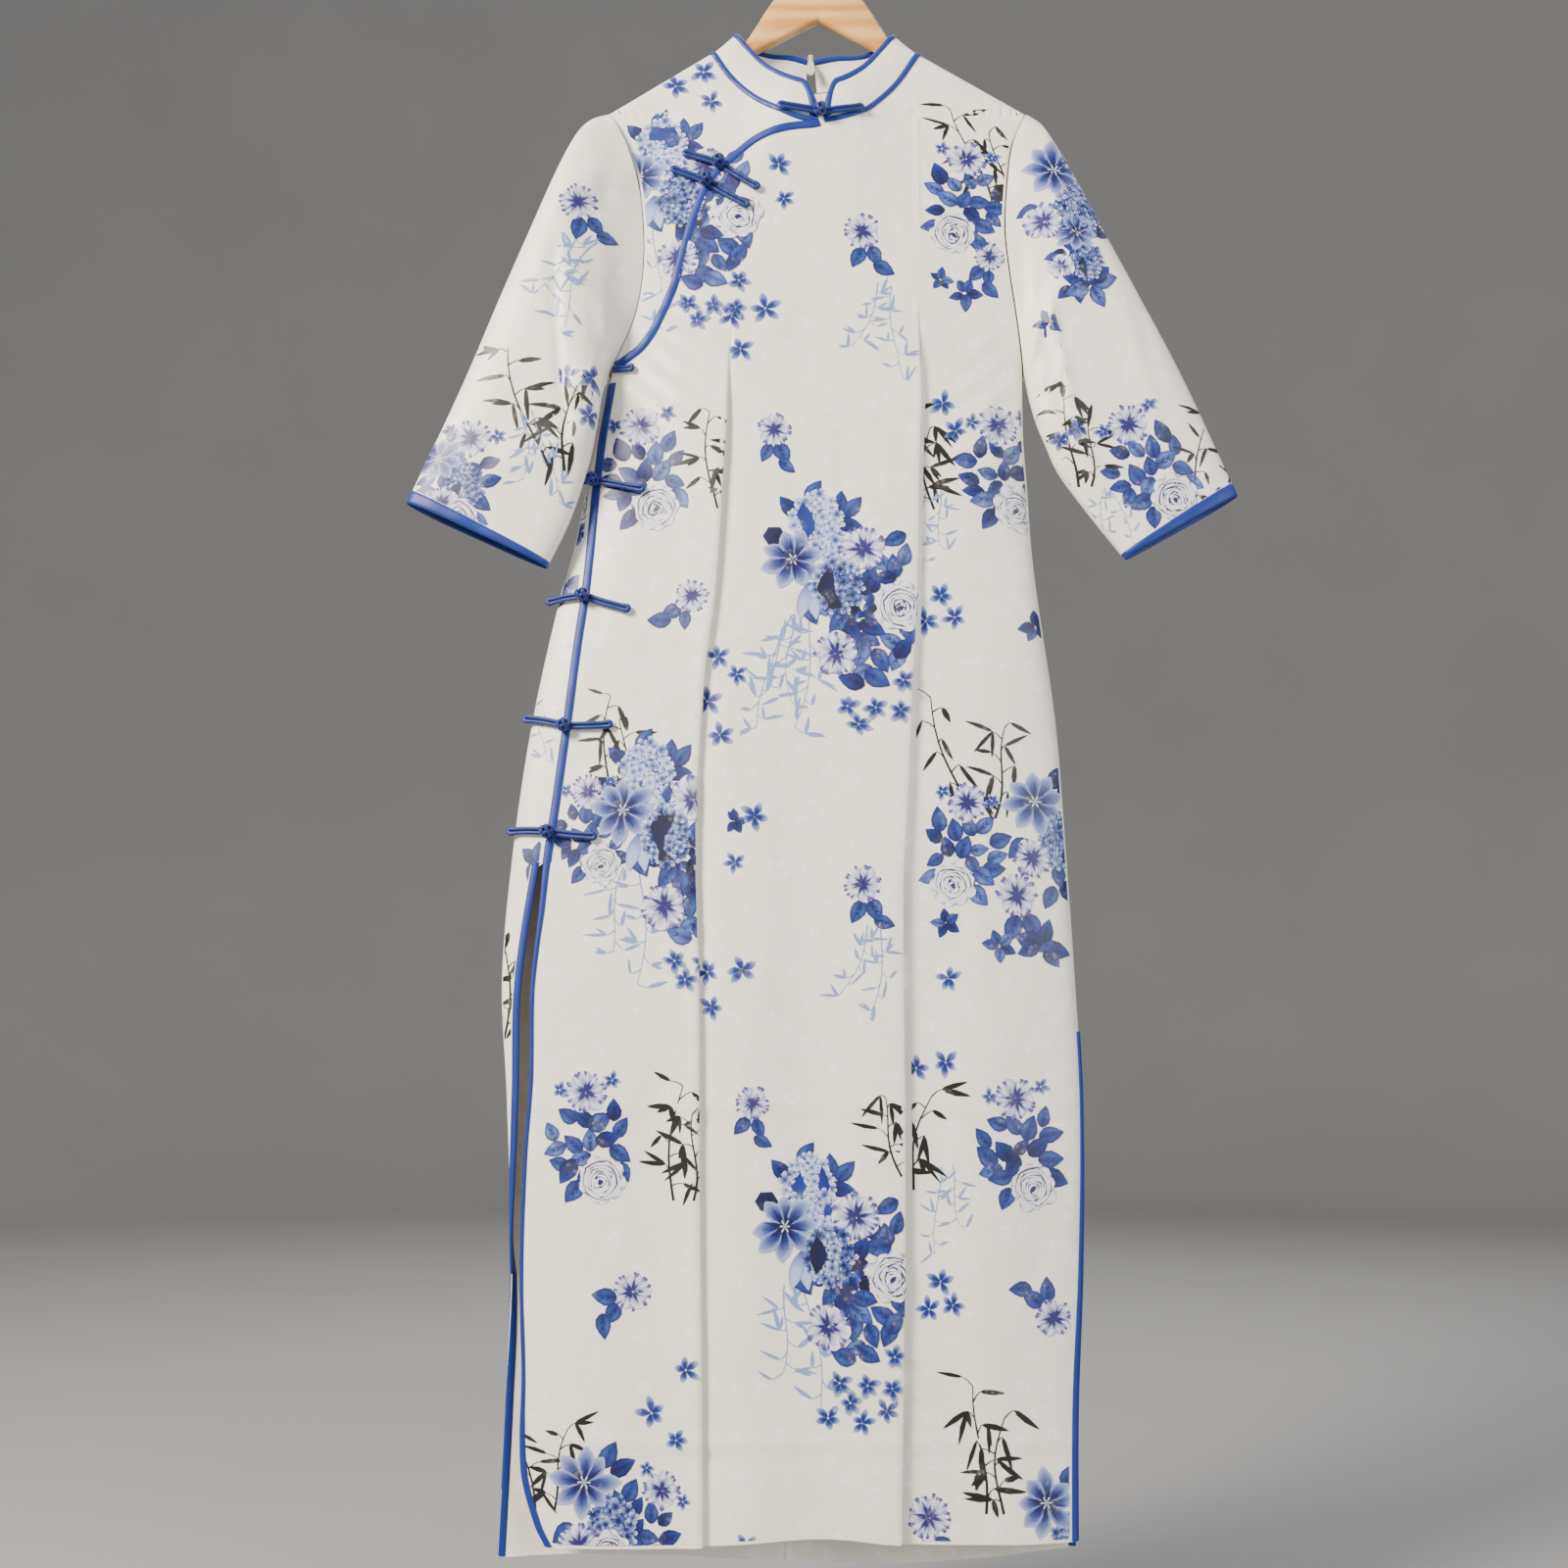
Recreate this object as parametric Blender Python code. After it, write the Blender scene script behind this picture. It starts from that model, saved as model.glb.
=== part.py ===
"""Cheongsam dress hanging on a wooden hanger.

Metres, +Z up, front towards -Y. The origin is where a rail bears inside the hook.
A "drop" is the distance below the neck points, where the shoulder seams meet the collar.
Left and right in the tables are the viewer's; in the names of the pieces, the wearer's.
"""
import math

import bmesh
import bpy
from mathutils import Vector

for old in list(bpy.data.objects):
    bpy.data.objects.remove(old, do_unlink=True)

FRONT, BACK = -1, 1

# Cloth and seams
CLOTH_WALL = 0.0013
COLLAR_WALL = 0.0018
BAND_WALL = 0.0010
SEAM_GAP = 0.0003
BAND_LIFT = 0.0009 + BAND_WALL
PIPING_LIFT = 0.0011 + BAND_WALL
ARMHOLE_GAP = 0.0003
PIPING_WIDTH = 0.007
UNDER_PIPING = 0.0022
NECK_PIPING_WIDTH = 0.004
UNDER_NECK_PIPING = 0.0020
OVERLAP_UNDER = 0.0010
COLLAR_BAND_WIDTH = 0.005

# Places on the body
NECK_Z = -0.184
TIP_DROP = 0.0655
ARMPIT_DROP = 0.337
SLIT_LEFT_DROP = 0.816
SLIT_RIGHT_DROP = 0.970
RIDGE_RADIUS = 0.0090
ARMHOLE_DEPTH = 0.019
ROUNDNESS = 2.6
NECK_HUB = (-0.003, -0.070)


class Table:
    """Rows of sizes under named columns, read between the rows along a smooth curve."""

    def __init__(self, columns, rows):
        self.columns = columns.split()
        self.rows = rows

    def at(self, key, column):
        c, rows = self.columns.index(column), self.rows
        key = min(max(key, rows[0][0]), rows[-1][0])
        i = next(n for n in range(len(rows) - 1) if key <= rows[n + 1][0])
        a, b = rows[i], rows[i + 1]
        before, after = rows[max(i - 1, 0)], rows[min(i + 2, len(rows) - 1)]
        span = b[0] - a[0]
        t = (key - a[0]) / span
        rise_a = span * (b[c] - before[c]) / (b[0] - before[0])
        rise_b = span * (after[c] - a[c]) / (after[0] - a[0])
        return ((2 * t**3 - 3 * t**2 + 1) * a[c] + (t**3 - 2 * t**2 + t) * rise_a
                + (3 * t**2 - 2 * t**3) * b[c] + (t**3 - t**2) * rise_b)


# Below the armpits: x of both sides, depth of the front and the back from y = 0
OUTLINE = Table("drop left right front back", [
    (0.337, -0.2030, 0.1975, 0.026, 0.022),
    (0.370, -0.2078, 0.1970, 0.027, 0.022),
    (0.410, -0.2155, 0.1974, 0.028, 0.023),
    (0.453, -0.2245, 0.1998, 0.029, 0.024),
    (0.512, -0.2350, 0.2025, 0.030, 0.025),
    (0.560, -0.2475, 0.2070, 0.031, 0.025),
    (0.684, -0.2717, 0.2216, 0.033, 0.026),
    (0.800, -0.2862, 0.2280, 0.034, 0.026),
    (0.923, -0.2939, 0.2335, 0.033, 0.026),
    (1.030, -0.2868, 0.2370, 0.031, 0.025),
    (1.177, -0.2795, 0.2335, 0.028, 0.022),
    (1.300, -0.2830, 0.2262, 0.025, 0.020),
    (1.435, -0.2872, 0.2228, 0.023, 0.018),
])

# Armhole seams
ARMHOLE = Table("drop left right", [
    (0.0655, -0.2082, 0.2062),
    (0.104, -0.1893, 0.1905),
    (0.147, -0.1766, 0.1842),
    (0.195, -0.1712, 0.1812),
    (0.240, -0.1715, 0.1850),
    (0.285, -0.1795, 0.1910),
    (0.337, -0.2030, 0.1975),
])

# Neckline, where the collar stands
NECK_FRONT = Table("x drop", [
    (-0.1042, -0.0025), (-0.0860, 0.0258), (-0.0635, 0.0498), (-0.0390, 0.0675),
    (-0.0195, 0.0765), (0.0010, 0.0805), (0.0235, 0.0765), (0.0430, 0.0675),
    (0.0530, 0.0590), (0.0754, 0.0340), (0.0980, -0.0011),
])
NECK_BACK = Table("x drop", [
    (-0.1042, -0.0025), (-0.0980, 0.0045), (-0.0850, 0.0125), (-0.0550, 0.0220),
    (-0.0075, 0.0280), (0.0480, 0.0225), (0.0790, 0.0130), (0.0920, 0.0055), (0.0980, -0.0011),
])

# Middle line of the piping on the curved front opening
OPENING = Table("x drop", [
    (-0.1990, 0.3332), (-0.1782, 0.3208), (-0.1640, 0.3051), (-0.1509, 0.2789),
    (-0.1406, 0.2532), (-0.1342, 0.2282), (-0.1278, 0.2028), (-0.1204, 0.1770),
    (-0.1092, 0.1486), (-0.0968, 0.1318), (-0.0844, 0.1200), (-0.0632, 0.1025),
    (-0.0343, 0.0915), (-0.0040, 0.0880),
])

# Left edge of the front's side piping, the edge of the slit below SLIT_LEFT_DROP
FRONT_LINE = Table("drop x", [
    (0.337, -0.2026), (0.370, -0.2072), (0.400, -0.2115), (0.458, -0.2171), (0.555, -0.2246),
    (0.613, -0.2317), (0.683, -0.2393), (0.762, -0.2486), (0.816, -0.2556),
    (0.861, -0.2588), (0.894, -0.2622), (0.935, -0.2652), (1.012, -0.2645),
    (1.082, -0.2685), (1.184, -0.2700), (1.268, -0.2663), (1.350, -0.2652),
    (1.395, -0.2520), (1.415, -0.2410),
])

# How far round to the front the back's left edge lies, as a turn from the side in radians
BACK_WRAP = Table("drop turn", [
    (0.816, 0.470), (0.861, 0.440), (0.950, 0.370), (1.030, 0.300),
    (1.082, 0.240), (1.133, 0.160), (1.177, 0.060), (1.220, 0.000), (1.435, 0.000),
])

HEM_FRONT = Table("x drop", [
    (-0.245, 1.4142), (-0.115, 1.4122), (0.000, 1.4055), (0.085, 1.4104), (0.223, 1.4110),
])
HEM_BACK = Table("x drop", [
    (-0.287, 1.4285), (-0.190, 1.4270), (0.020, 1.4350), (0.120, 1.4325), (0.223, 1.4185),
])

# Knife folds pressed into the front: each panel's right edge lies over the next panel
FOLD_STEP = 0.0065
FOLD_WIDTH = 0.0045
FOLD_REACH = 0.075
FOLD_GROWTH = 0.13
FOLDS = [
    (0.290, Table("drop x", [(0.06, -0.0850), (0.295, -0.0862), (0.463, -0.0946),
                             (0.559, -0.1004), (0.653, -0.1107), (0.791, -0.1167),
                             (0.924, -0.1130), (1.098, -0.1110), (1.266, -0.1081),
                             (1.411, -0.1063)])),
    (0.250, Table("drop x", [(0.06, 0.0960), (0.364, 0.0952), (0.443, 0.0922),
                             (0.559, 0.0888), (0.653, 0.0830), (0.745, 0.0783),
                             (0.836, 0.0728), (1.098, 0.0720), (1.266, 0.0688),
                             (1.411, 0.0657)])),
]

# Sleeves from the armhole (s = 0) to the cuff (s = 1): outer and inner edge, half depth, and
# how far the sleeve falls forwards
SLEEVES = {
    "right": Table("s out_x out_drop in_x in_drop depth forward", [
        (0.00, -0.2090, 0.0655, -0.2035, 0.3375, 0.0190, 0.000),
        (0.08, -0.2299, 0.0690, -0.2072, 0.3490, 0.0200, 0.010),
        (0.16, -0.2423, 0.0844, -0.2088, 0.3610, 0.0205, 0.020),
        (0.30, -0.2600, 0.1273, -0.2105, 0.3810, 0.0200, 0.029),
        (0.45, -0.2830, 0.1870, -0.2138, 0.4050, 0.0195, 0.031),
        (0.60, -0.3085, 0.2511, -0.2195, 0.4320, 0.0190, 0.030),
        (0.80, -0.3480, 0.3520, -0.2360, 0.4840, 0.0175, 0.027),
        (1.00, -0.3947, 0.4620, -0.2574, 0.5312, 0.0150, 0.026),
    ]),
    "left": Table("s out_x out_drop in_x in_drop depth forward", [
        (0.00, 0.2070, 0.0655, 0.1985, 0.3375, 0.0190, 0.000),
        (0.08, 0.2218, 0.0745, 0.2012, 0.3500, 0.0200, 0.003),
        (0.16, 0.2330, 0.0945, 0.2035, 0.3640, 0.0205, 0.007),
        (0.30, 0.2510, 0.1315, 0.2085, 0.3870, 0.0200, 0.012),
        (0.45, 0.2790, 0.1916, 0.2165, 0.4090, 0.0195, 0.014),
        (0.60, 0.3090, 0.2535, 0.2280, 0.4370, 0.0190, 0.014),
        (0.80, 0.3510, 0.3430, 0.2560, 0.4780, 0.0170, 0.014),
        (1.00, 0.3980, 0.4580, 0.2893, 0.5225, 0.0140, 0.014),
    ]),
}
SLEEVE_SIDE = {"right": "left", "left": "right"}

# Top edge of the collar from the front centre (q = 0) over the side (q = 0.5) to the back
COLLAR_FRONT_X = {"right": 0.0000, "left": 0.0040}
COLLAR_BACK_X = -0.0075
COLLAR_TOP = {
    "right": Table("q x y drop", [
        (0.00, -0.0005, -0.0190, 0.0375), (0.12, -0.0190, -0.0180, 0.0335),
        (0.22, -0.0365, -0.0155, 0.0258), (0.32, -0.0520, -0.0125, 0.0150),
        (0.41, -0.0690, -0.0112, -0.0030), (0.45, -0.0765, -0.0106, -0.0130),
        (0.50, -0.0818, 0.0000, -0.0245), (0.55, -0.0770, 0.0098, -0.0200),
        (0.66, -0.0600, 0.0112, -0.0125), (0.75, -0.0450, 0.0122, -0.0085),
        (0.88, -0.0250, 0.0130, -0.0080),
        (1.00, -0.0075, 0.0130, -0.0035),
    ]),
    "left": Table("q x y drop", [
        (0.00, 0.0045, -0.0190, 0.0375), (0.12, 0.0190, -0.0180, 0.0330),
        (0.22, 0.0340, -0.0155, 0.0245), (0.32, 0.0470, -0.0125, 0.0135),
        (0.41, 0.0620, -0.0115, -0.0040), (0.45, 0.0692, -0.0110, -0.0130),
        (0.50, 0.0742, 0.0000, -0.0232), (0.55, 0.0698, 0.0098, -0.0190),
        (0.66, 0.0530, 0.0112, -0.0115), (0.75, 0.0400, 0.0122, -0.0070),
        (0.88, 0.0160, 0.0130, -0.0075),
        (1.00, -0.0075, 0.0130, -0.0035),
    ]),
}
COLLAR_HEIGHT = 0.041
COLLAR_LENGTH = 0.245
COLLAR_END_RADIUS = 0.027

# Frogs: middle and both ends on the front
FROGS = Table("number x drop left_x left_drop right_x right_drop", [
    (1, 0.0010, 0.0765, -0.0400, 0.0690, 0.0433, 0.0700),
    (2, -0.0972, 0.1285, -0.1337, 0.1151, -0.0582, 0.1569),
    (3, -0.1101, 0.1475, -0.1450, 0.1328, -0.0682, 0.1755),
    (4, -0.1960, 0.3365, -0.1975, 0.3368, -0.1771, 0.3361),
    (5, -0.2138, 0.4496, -0.2360, 0.4470, -0.1655, 0.4612),
    (6, -0.2219, 0.5643, -0.2586, 0.5670, -0.1776, 0.5796),
    (7, -0.2376, 0.6890, -0.2774, 0.6792, -0.1923, 0.6888),
    (8, -0.2509, 0.7882, -0.2896, 0.7863, -0.2050, 0.7936),
])
HIDDEN_FROG = 4
CORD_WIDTH = 0.006
CORD_HEIGHT = 0.0028
KNOT_RADIUS = 0.0052
KNOT_HEIGHT = 0.0102
LOOP_RADIUS = 0.0036
LOOP_CORD = 0.0011
LOOP_RISE = 0.0016
FROG_LIFT = PIPING_LIFT + SEAM_GAP

# Hanger and hook
HANGER_HALF_WIDTH = 0.186
HANGER_THICKNESS = 0.012
HANGER_PEAK_Z = -0.088
HANGER_CLEARANCE = 0.0004
HANGER_UPPER = Table("x z", [(0.000, -0.0880), (0.014, -0.0900), (0.044, -0.1230),
                             (0.067, -0.1608), (0.073, -0.1700), (0.090, -0.1845),
                             (0.105, -0.1930)])
HANGER_UNDER_CLOTH = 0.115
HANGER_LOWER = Table("x z", [(0.000, -0.1480), (0.057, -0.1795), (0.120, -0.2130),
                             (0.190, -0.2525)])
WIRE_RADIUS = 0.002
HOOK_RADIUS = 0.018

# Zip slider and pull at the top of the back seam
ZIP_X = COLLAR_BACK_X
ZIP_GAP = 0.0048
SLIDER_SIZE = (0.0058, 0.0018, 0.0085)
PIN_HEIGHT = 0.0034
PIN_RADIUS = 0.0006
EYE_CLEARANCE = 0.0003
PULL_LEAN = math.radians(14)
PULL_LENGTH = 0.025


# Surfaces

def smooth(t):
    t = min(max(t, 0.0), 1.0)
    return t * t * (3 - 2 * t)


def blend(a, b, t):
    return a + (b - a) * t


def place(x, y, drop):
    return Vector((x, y, NECK_Z - drop))


def sides(drop):
    """x of the body's left and right edge: armhole seam, then side."""
    table = ARMHOLE if drop < ARMPIT_DROP else OUTLINE
    return table.at(drop, "left"), table.at(drop, "right")


def ridge_drop(x):
    """Drop of the shoulder ridge over x, carried on over the neck."""
    left = -0.0025 - (x + 0.1042) * 0.6450
    right = -0.0011 + (x - 0.0980) * 0.6150
    return max(left, right)


def oval(t, blunt=0.0):
    """Half depth of an oval from 0 to 1 along its length, blunter at the start."""
    power = ROUNDNESS + (4.0 * blunt if t < 0.5 else 0.0)
    return max(0.0, 1 - abs(2 * t - 1)**power)**(1 / ROUNDNESS)


def armhole_depth(t):
    """Half depth of the armhole oval, t from the shoulder tip (0) to the armpit (1)."""
    return ARMHOLE_DEPTH * oval(t, 1.0)


def edge_depth(drop, x, face):
    """Depth that is left at the body's edge: armhole above, open slits below."""
    if drop < ARMPIT_DROP:
        return armhole_depth((drop - TIP_DROP) / (ARMPIT_DROP - TIP_DROP))
    if x > 0:
        return 0.006 * smooth((drop - SLIT_RIGHT_DROP) / 0.35)
    return 0.010 * smooth((drop - 1.15) / 0.20) if face == BACK else 0.0


def fold_lift(x, drop):
    """Knife folds of the front: a slow rise, then a step back."""
    lift = 0.0
    for start, line in FOLDS:
        step = FOLD_STEP * smooth((drop - start) / FOLD_GROWTH)
        u = x - line.at(drop, "x")
        if abs(u) < FOLD_WIDTH / 2:
            lift -= step * u / FOLD_WIDTH
        else:
            far = max(0.0, 1 - (abs(u) - FOLD_WIDTH / 2) / FOLD_REACH)
            lift -= math.copysign(step / 2 * far, u)
    return lift


def depth(x, drop, face):
    """Distance of the front or back from y = 0."""
    column = "front" if face == FRONT else "back"
    full = OUTLINE.at(drop, column)
    below = max(0.0, drop - ridge_drop(x))
    reach = 0.10 + 0.12 * smooth(abs(x) / 0.10)
    ridge = RIDGE_RADIUS * math.sqrt(1 - (1 - min(below / RIDGE_RADIUS, 1))**2)
    middle = ridge + (full - RIDGE_RADIUS) * smooth(below / reach)
    if middle <= 0 or drop < TIP_DROP:
        return middle
    left, right = sides(drop)
    across = min(1.0, abs(2 * x - left - right) / (right - left))
    edge = min(1.0, edge_depth(drop, x, face) / middle)
    shape = edge**ROUNDNESS + (1 - edge**ROUNDNESS) * (1 - across**ROUNDNESS)
    folds = fold_lift(x, drop) * (1 - across**6) if face == FRONT else 0.0
    return middle * shape**(1 / ROUNDNESS) + folds


def body(x, drop, face=FRONT, lift=0.0):
    """Point on the body, moved out from the cloth by lift."""
    point = place(x, face * depth(x, drop, face), drop)
    if lift:
        e = 0.0004
        left, right = sides(max(drop, TIP_DROP))
        xa, xb = max(x - e, left), min(x + e, right)
        along = place(xb, face * depth(xb, drop, face), drop) \
            - place(xa, face * depth(xa, drop, face), drop)
        down = place(x, face * depth(x, drop + e, face), drop + e) - point
        point += lift * face * along.cross(down).normalized()
    return point


def turn_at(x, drop):
    """Turn round the body in radians: 0 at the right side, pi at the left."""
    left, right = sides(max(drop, TIP_DROP))
    return math.acos(min(1.0, max(-1.0, (2 * x - left - right) / (right - left))))


def ring(turn, drop):
    """Point of the body at a turn: front for 0 to pi, back beyond it."""
    left, right = sides(max(drop, TIP_DROP))
    x = (left + right) / 2 + (right - left) / 2 * math.cos(turn)
    face = FRONT if math.sin(turn) >= 0 else BACK
    return place(x, face * depth(x, drop, face), drop)


def ring_out(turn, drop, lift):
    """Point at a turn moved out from the cloth by lift."""
    e = 0.004
    along = ring(turn + e, drop) - ring(turn - e, drop)
    down = ring(turn, drop + 0.002) - ring(turn, drop - 0.002)
    return ring(turn, drop) + lift * along.cross(down).normalized()


def away_from_neck(x, drop, distance):
    """Place moved outwards from the neck, on the flat of the front."""
    dx, dd = x - NECK_HUB[0], drop - NECK_HUB[1]
    scale = 1 + distance / math.hypot(dx, dd)
    return NECK_HUB[0] + dx * scale, NECK_HUB[1] + dd * scale


def sampled(table, count, start=0.0, end=1.0):
    """Evenly spaced places on a curve kept as a table of drops over x."""
    x0, x1 = table.rows[0][0], table.rows[-1][0]
    xs = [blend(x0, x1, blend(start, end, i / (count - 1))) for i in range(count)]
    return [(x, table.at(x, "drop")) for x in xs]


def moved_aside(line, distance):
    """The line moved to its right-hand side by a distance."""
    result = []
    for i, (x, drop) in enumerate(line):
        (xa, da), (xb, db) = line[max(i - 1, 0)], line[min(i + 1, len(line) - 1)]
        length = math.hypot(xb - xa, db - da)
        result.append((x - distance * (db - da) / length, drop + distance * (xb - xa) / length))
    return result


def drop_on(line, x):
    """Drop of a line of places in rising x."""
    if x <= line[0][0]:
        return line[0][1]
    for (xa, da), (xb, db) in zip(line, line[1:]):
        if x <= xb:
            return blend(da, db, (x - xa) / (xb - xa))
    return line[-1][1]


# Meshes

def material(name, colour, roughness, metallic=0.0):
    mat = bpy.data.materials.new(name)
    mat.use_nodes = True
    shader = mat.node_tree.nodes["Principled BSDF"]
    shader.inputs["Base Color"].default_value = (*colour, 1)
    shader.inputs["Roughness"].default_value = roughness
    shader.inputs["Metallic"].default_value = metallic
    mat.diffuse_color = (*colour, 1)
    return mat


def add(name, points, faces, mat, origin=None):
    """Closed solid from points and faces, its normals turned outwards."""
    mesh = bpy.data.meshes.new(name)
    mesh.from_pydata([tuple(p) for p in points], [], faces)
    bm = bmesh.new()
    bm.from_mesh(mesh)
    bmesh.ops.recalc_face_normals(bm, faces=bm.faces)
    if origin is not None:
        bmesh.ops.translate(bm, verts=bm.verts, vec=-origin)
    bm.to_mesh(mesh)
    bm.free()
    obj = bpy.data.objects.new(name, mesh)
    if origin is not None:
        obj.location = origin
    bpy.context.scene.collection.objects.link(obj)
    copy = mat.copy()
    copy.name = name
    obj.data.materials.append(copy)
    return obj


def grid_normals(rows, closed):
    """Unit normal at each point of a grid from its neighbours."""
    count, width = len(rows), len(rows[0])
    result = []
    for i in range(count):
        line = []
        for j in range(width):
            if closed:
                across = rows[i][(j + 1) % width] - rows[i][j - 1]
            else:
                across = rows[i][min(j + 1, width - 1)] - rows[i][max(j - 1, 0)]
            down = rows[min(i + 1, count - 1)][j] - rows[max(i - 1, 0)][j]
            line.append(across.cross(down).normalized())
        result.append(line)
    return result


def sheet(name, rows, wall, mat, outward, closed=False, face=None):
    """Cloth wall whose outer side is a grid of points; outward is a point well outside it."""
    normals = grid_normals(rows, closed)
    i, j = len(rows) // 2, len(rows[0]) // 3
    sign = 1 if normals[i][j].dot(outward - rows[i][j]) > 0 else -1
    width, total = len(rows[0]), len(rows) * len(rows[0])
    points = [p for row in rows for p in row]
    inner = [p - sign * wall * n for row, ns in zip(rows, normals) for p, n in zip(row, ns)]
    points += inner if face is None else [seam_shift(p, face) for p in inner]
    faces = []
    for i in range(len(rows) - 1):
        for j in range(width if closed else width - 1):
            a, b = i * width + j, i * width + (j + 1) % width
            faces.append((a, b, b + width, a + width))
            faces.append((a + total, a + width + total, b + width + total, b + total))
    ends = [[r * width + j for j in range(width)] for r in (0, len(rows) - 1)]
    for end in ends:
        pairs = zip(end, end[1:] + (end[:1] if closed else []))
        faces += [(a, b, b + total, a + total) for a, b in pairs]
    if not closed:
        for c in (0, width - 1):
            side = [i * width + c for i in range(len(rows))]
            faces += [(a, b, b + total, a + total) for a, b in zip(side, side[1:])]
    return add(name, points, faces, mat)


def band(name, lines, mat, outward, wall=BAND_WALL):
    """Narrow strip through lines of points, which lie on its outer side."""
    return sheet(name, [list(row) for row in zip(*lines)], wall, mat, outward)


def tube(path, ups, half_width, half_height, sides_count=6):
    """Points and faces of a flattened tube along a path; ups point out of the cloth."""
    points, faces = [], []
    for i, (p, up) in enumerate(zip(path, ups)):
        along = (path[min(i + 1, len(path) - 1)] - path[max(i - 1, 0)]).normalized()
        side = along.cross(up).normalized()
        out = side.cross(along).normalized()
        width = half_width[i] if isinstance(half_width, list) else half_width
        for k in range(sides_count):
            a = 2 * math.pi * k / sides_count
            points.append(p + side * width * math.cos(a) + out * half_height * math.sin(a))
    n = sides_count
    for i in range(len(path) - 1):
        for k in range(n):
            a, b = i * n + k, i * n + (k + 1) % n
            faces.append((a, b, b + n, a + n))
    faces.append(tuple(range(n)))
    faces.append(tuple(range((len(path) - 1) * n, len(path) * n)))
    return points, faces


def lathe(centre, axis, profile, count=8):
    """Turned solid: profile rows are (height along the axis, radius), closed at both ends."""
    side = axis.orthogonal().normalized()
    other = axis.cross(side).normalized()
    points, faces = [], []
    for height, radius in profile:
        for k in range(count):
            a = 2 * math.pi * k / count
            points.append(centre + axis * height
                          + radius * (side * math.cos(a) + other * math.sin(a)))
    for i in range(len(profile) - 1):
        for k in range(count):
            a, b = i * count + k, i * count + (k + 1) % count
            faces.append((a, b, b + count, a + count))
    faces.append(tuple(range(count)))
    faces.append(tuple(range(len(points) - count, len(points))))
    return points, faces


def joined(*solids):
    points, faces = [], []
    for some_points, some_faces in solids:
        base = len(points)
        points += some_points
        faces += [tuple(base + i for i in face) for face in some_faces]
    return points, faces


CLOTH = material("printed satin", (0.83, 0.82, 0.78), 0.45)
BINDING = material("blue satin", (0.012, 0.075, 0.39), 0.4)
WOOD = material("pale wood", (0.80, 0.46, 0.17), 0.45)
STEEL = material("hook wire", (0.75, 0.75, 0.76), 0.25, 1.0)
ZIP_METAL = material("zip metal", (0.85, 0.83, 0.78), 0.35, 0.6)

FAR_FRONT = Vector((0, -3, -0.8))
FAR_BACK = Vector((0, 3, -0.8))


# Body panels

RIDGE_ROWS = (0.0, 0.0012, 0.0045, 0.0095)
BODY_ROWS = 26


def rows_from_tops(columns, tops, hems):
    """Grid whose columns start on the panel's top edge and end on its hem."""
    rows = []
    for i in range(len(RIDGE_ROWS) + BODY_ROWS):
        row = []
        for column, top, hem in zip(columns, tops, hems):
            if i < len(RIDGE_ROWS):
                drop = top + RIDGE_ROWS[i]
            else:
                t = (i - len(RIDGE_ROWS) + 1) / BODY_ROWS
                drop = blend(top + RIDGE_ROWS[-1], hem, t)
            row.append(column(drop))
        rows.append(row)
    return rows


def settle(start, step, count=40):
    """Value that a step leaves unchanged, found by repeating it."""
    for _ in range(count):
        start = blend(start, step(start), 0.5)
    return start


def seam_shift(point, face):
    """Keeps a point of the shoulders on its own side of the shoulder seam."""
    if point.z > NECK_Z - ARMPIT_DROP and face * point.y < SEAM_GAP / 2:
        point.y = face * SEAM_GAP / 2
    return point


OPENING_LINE = sampled(OPENING, 40)
OPENING_RIGHT = moved_aside(OPENING_LINE, UNDER_PIPING)
OPENING_LEFT = moved_aside(OPENING_LINE, -UNDER_PIPING)


def neck_line(table, distance, start=0.0, end=1.0, count=24):
    return [away_from_neck(x, d, distance) for x, d in sampled(table, count, start, end)]


FRONT_NECK_LINE = neck_line(NECK_FRONT, UNDER_NECK_PIPING)
BACK_NECK_LINE = neck_line(NECK_BACK, UNDER_NECK_PIPING)


def front_top(x):
    if x < OPENING_RIGHT[-1][0]:
        return drop_on(OPENING_RIGHT, x)
    if x < FRONT_NECK_LINE[-1][0]:
        return max(drop_on(FRONT_NECK_LINE, x), ridge_drop(x))
    return ridge_drop(x)


def front_column_x(k, drop):
    """x of the front panel's column k: the folds lie on columns."""
    below = max(drop, ARMPIT_DROP)
    left = FRONT_LINE.at(below, "x") + PIPING_WIDTH - UNDER_PIPING
    folds = [line.at(drop, "x") for _, line in FOLDS]
    right = sides(max(drop, TIP_DROP))[1] - ARMHOLE_GAP
    corner = blend(FRONT_NECK_LINE[-1][0], folds[1] + 0.015, smooth(drop / 0.3))
    stops = [left, folds[0] - FOLD_WIDTH / 2, folds[0] + FOLD_WIDTH / 2,
             folds[1] - FOLD_WIDTH / 2, folds[1] + FOLD_WIDTH / 2, corner, right]
    counts = FRONT_COUNTS
    for i, n in enumerate(counts):
        if k <= n:
            if i == len(counts) - 1:
                a, b = turn_at(stops[i], drop), turn_at(stops[i + 1], drop)
                mid, half = sum(sides(max(drop, TIP_DROP))) / 2, stops[i + 1] + ARMHOLE_GAP
                half -= mid
                return min(mid + half * math.cos(blend(a, b, k / n)), stops[i + 1])
            return blend(stops[i], stops[i + 1], k / n)
        k -= n


FRONT_COUNTS = (10, 1, 8, 1, 1, 6)


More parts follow.
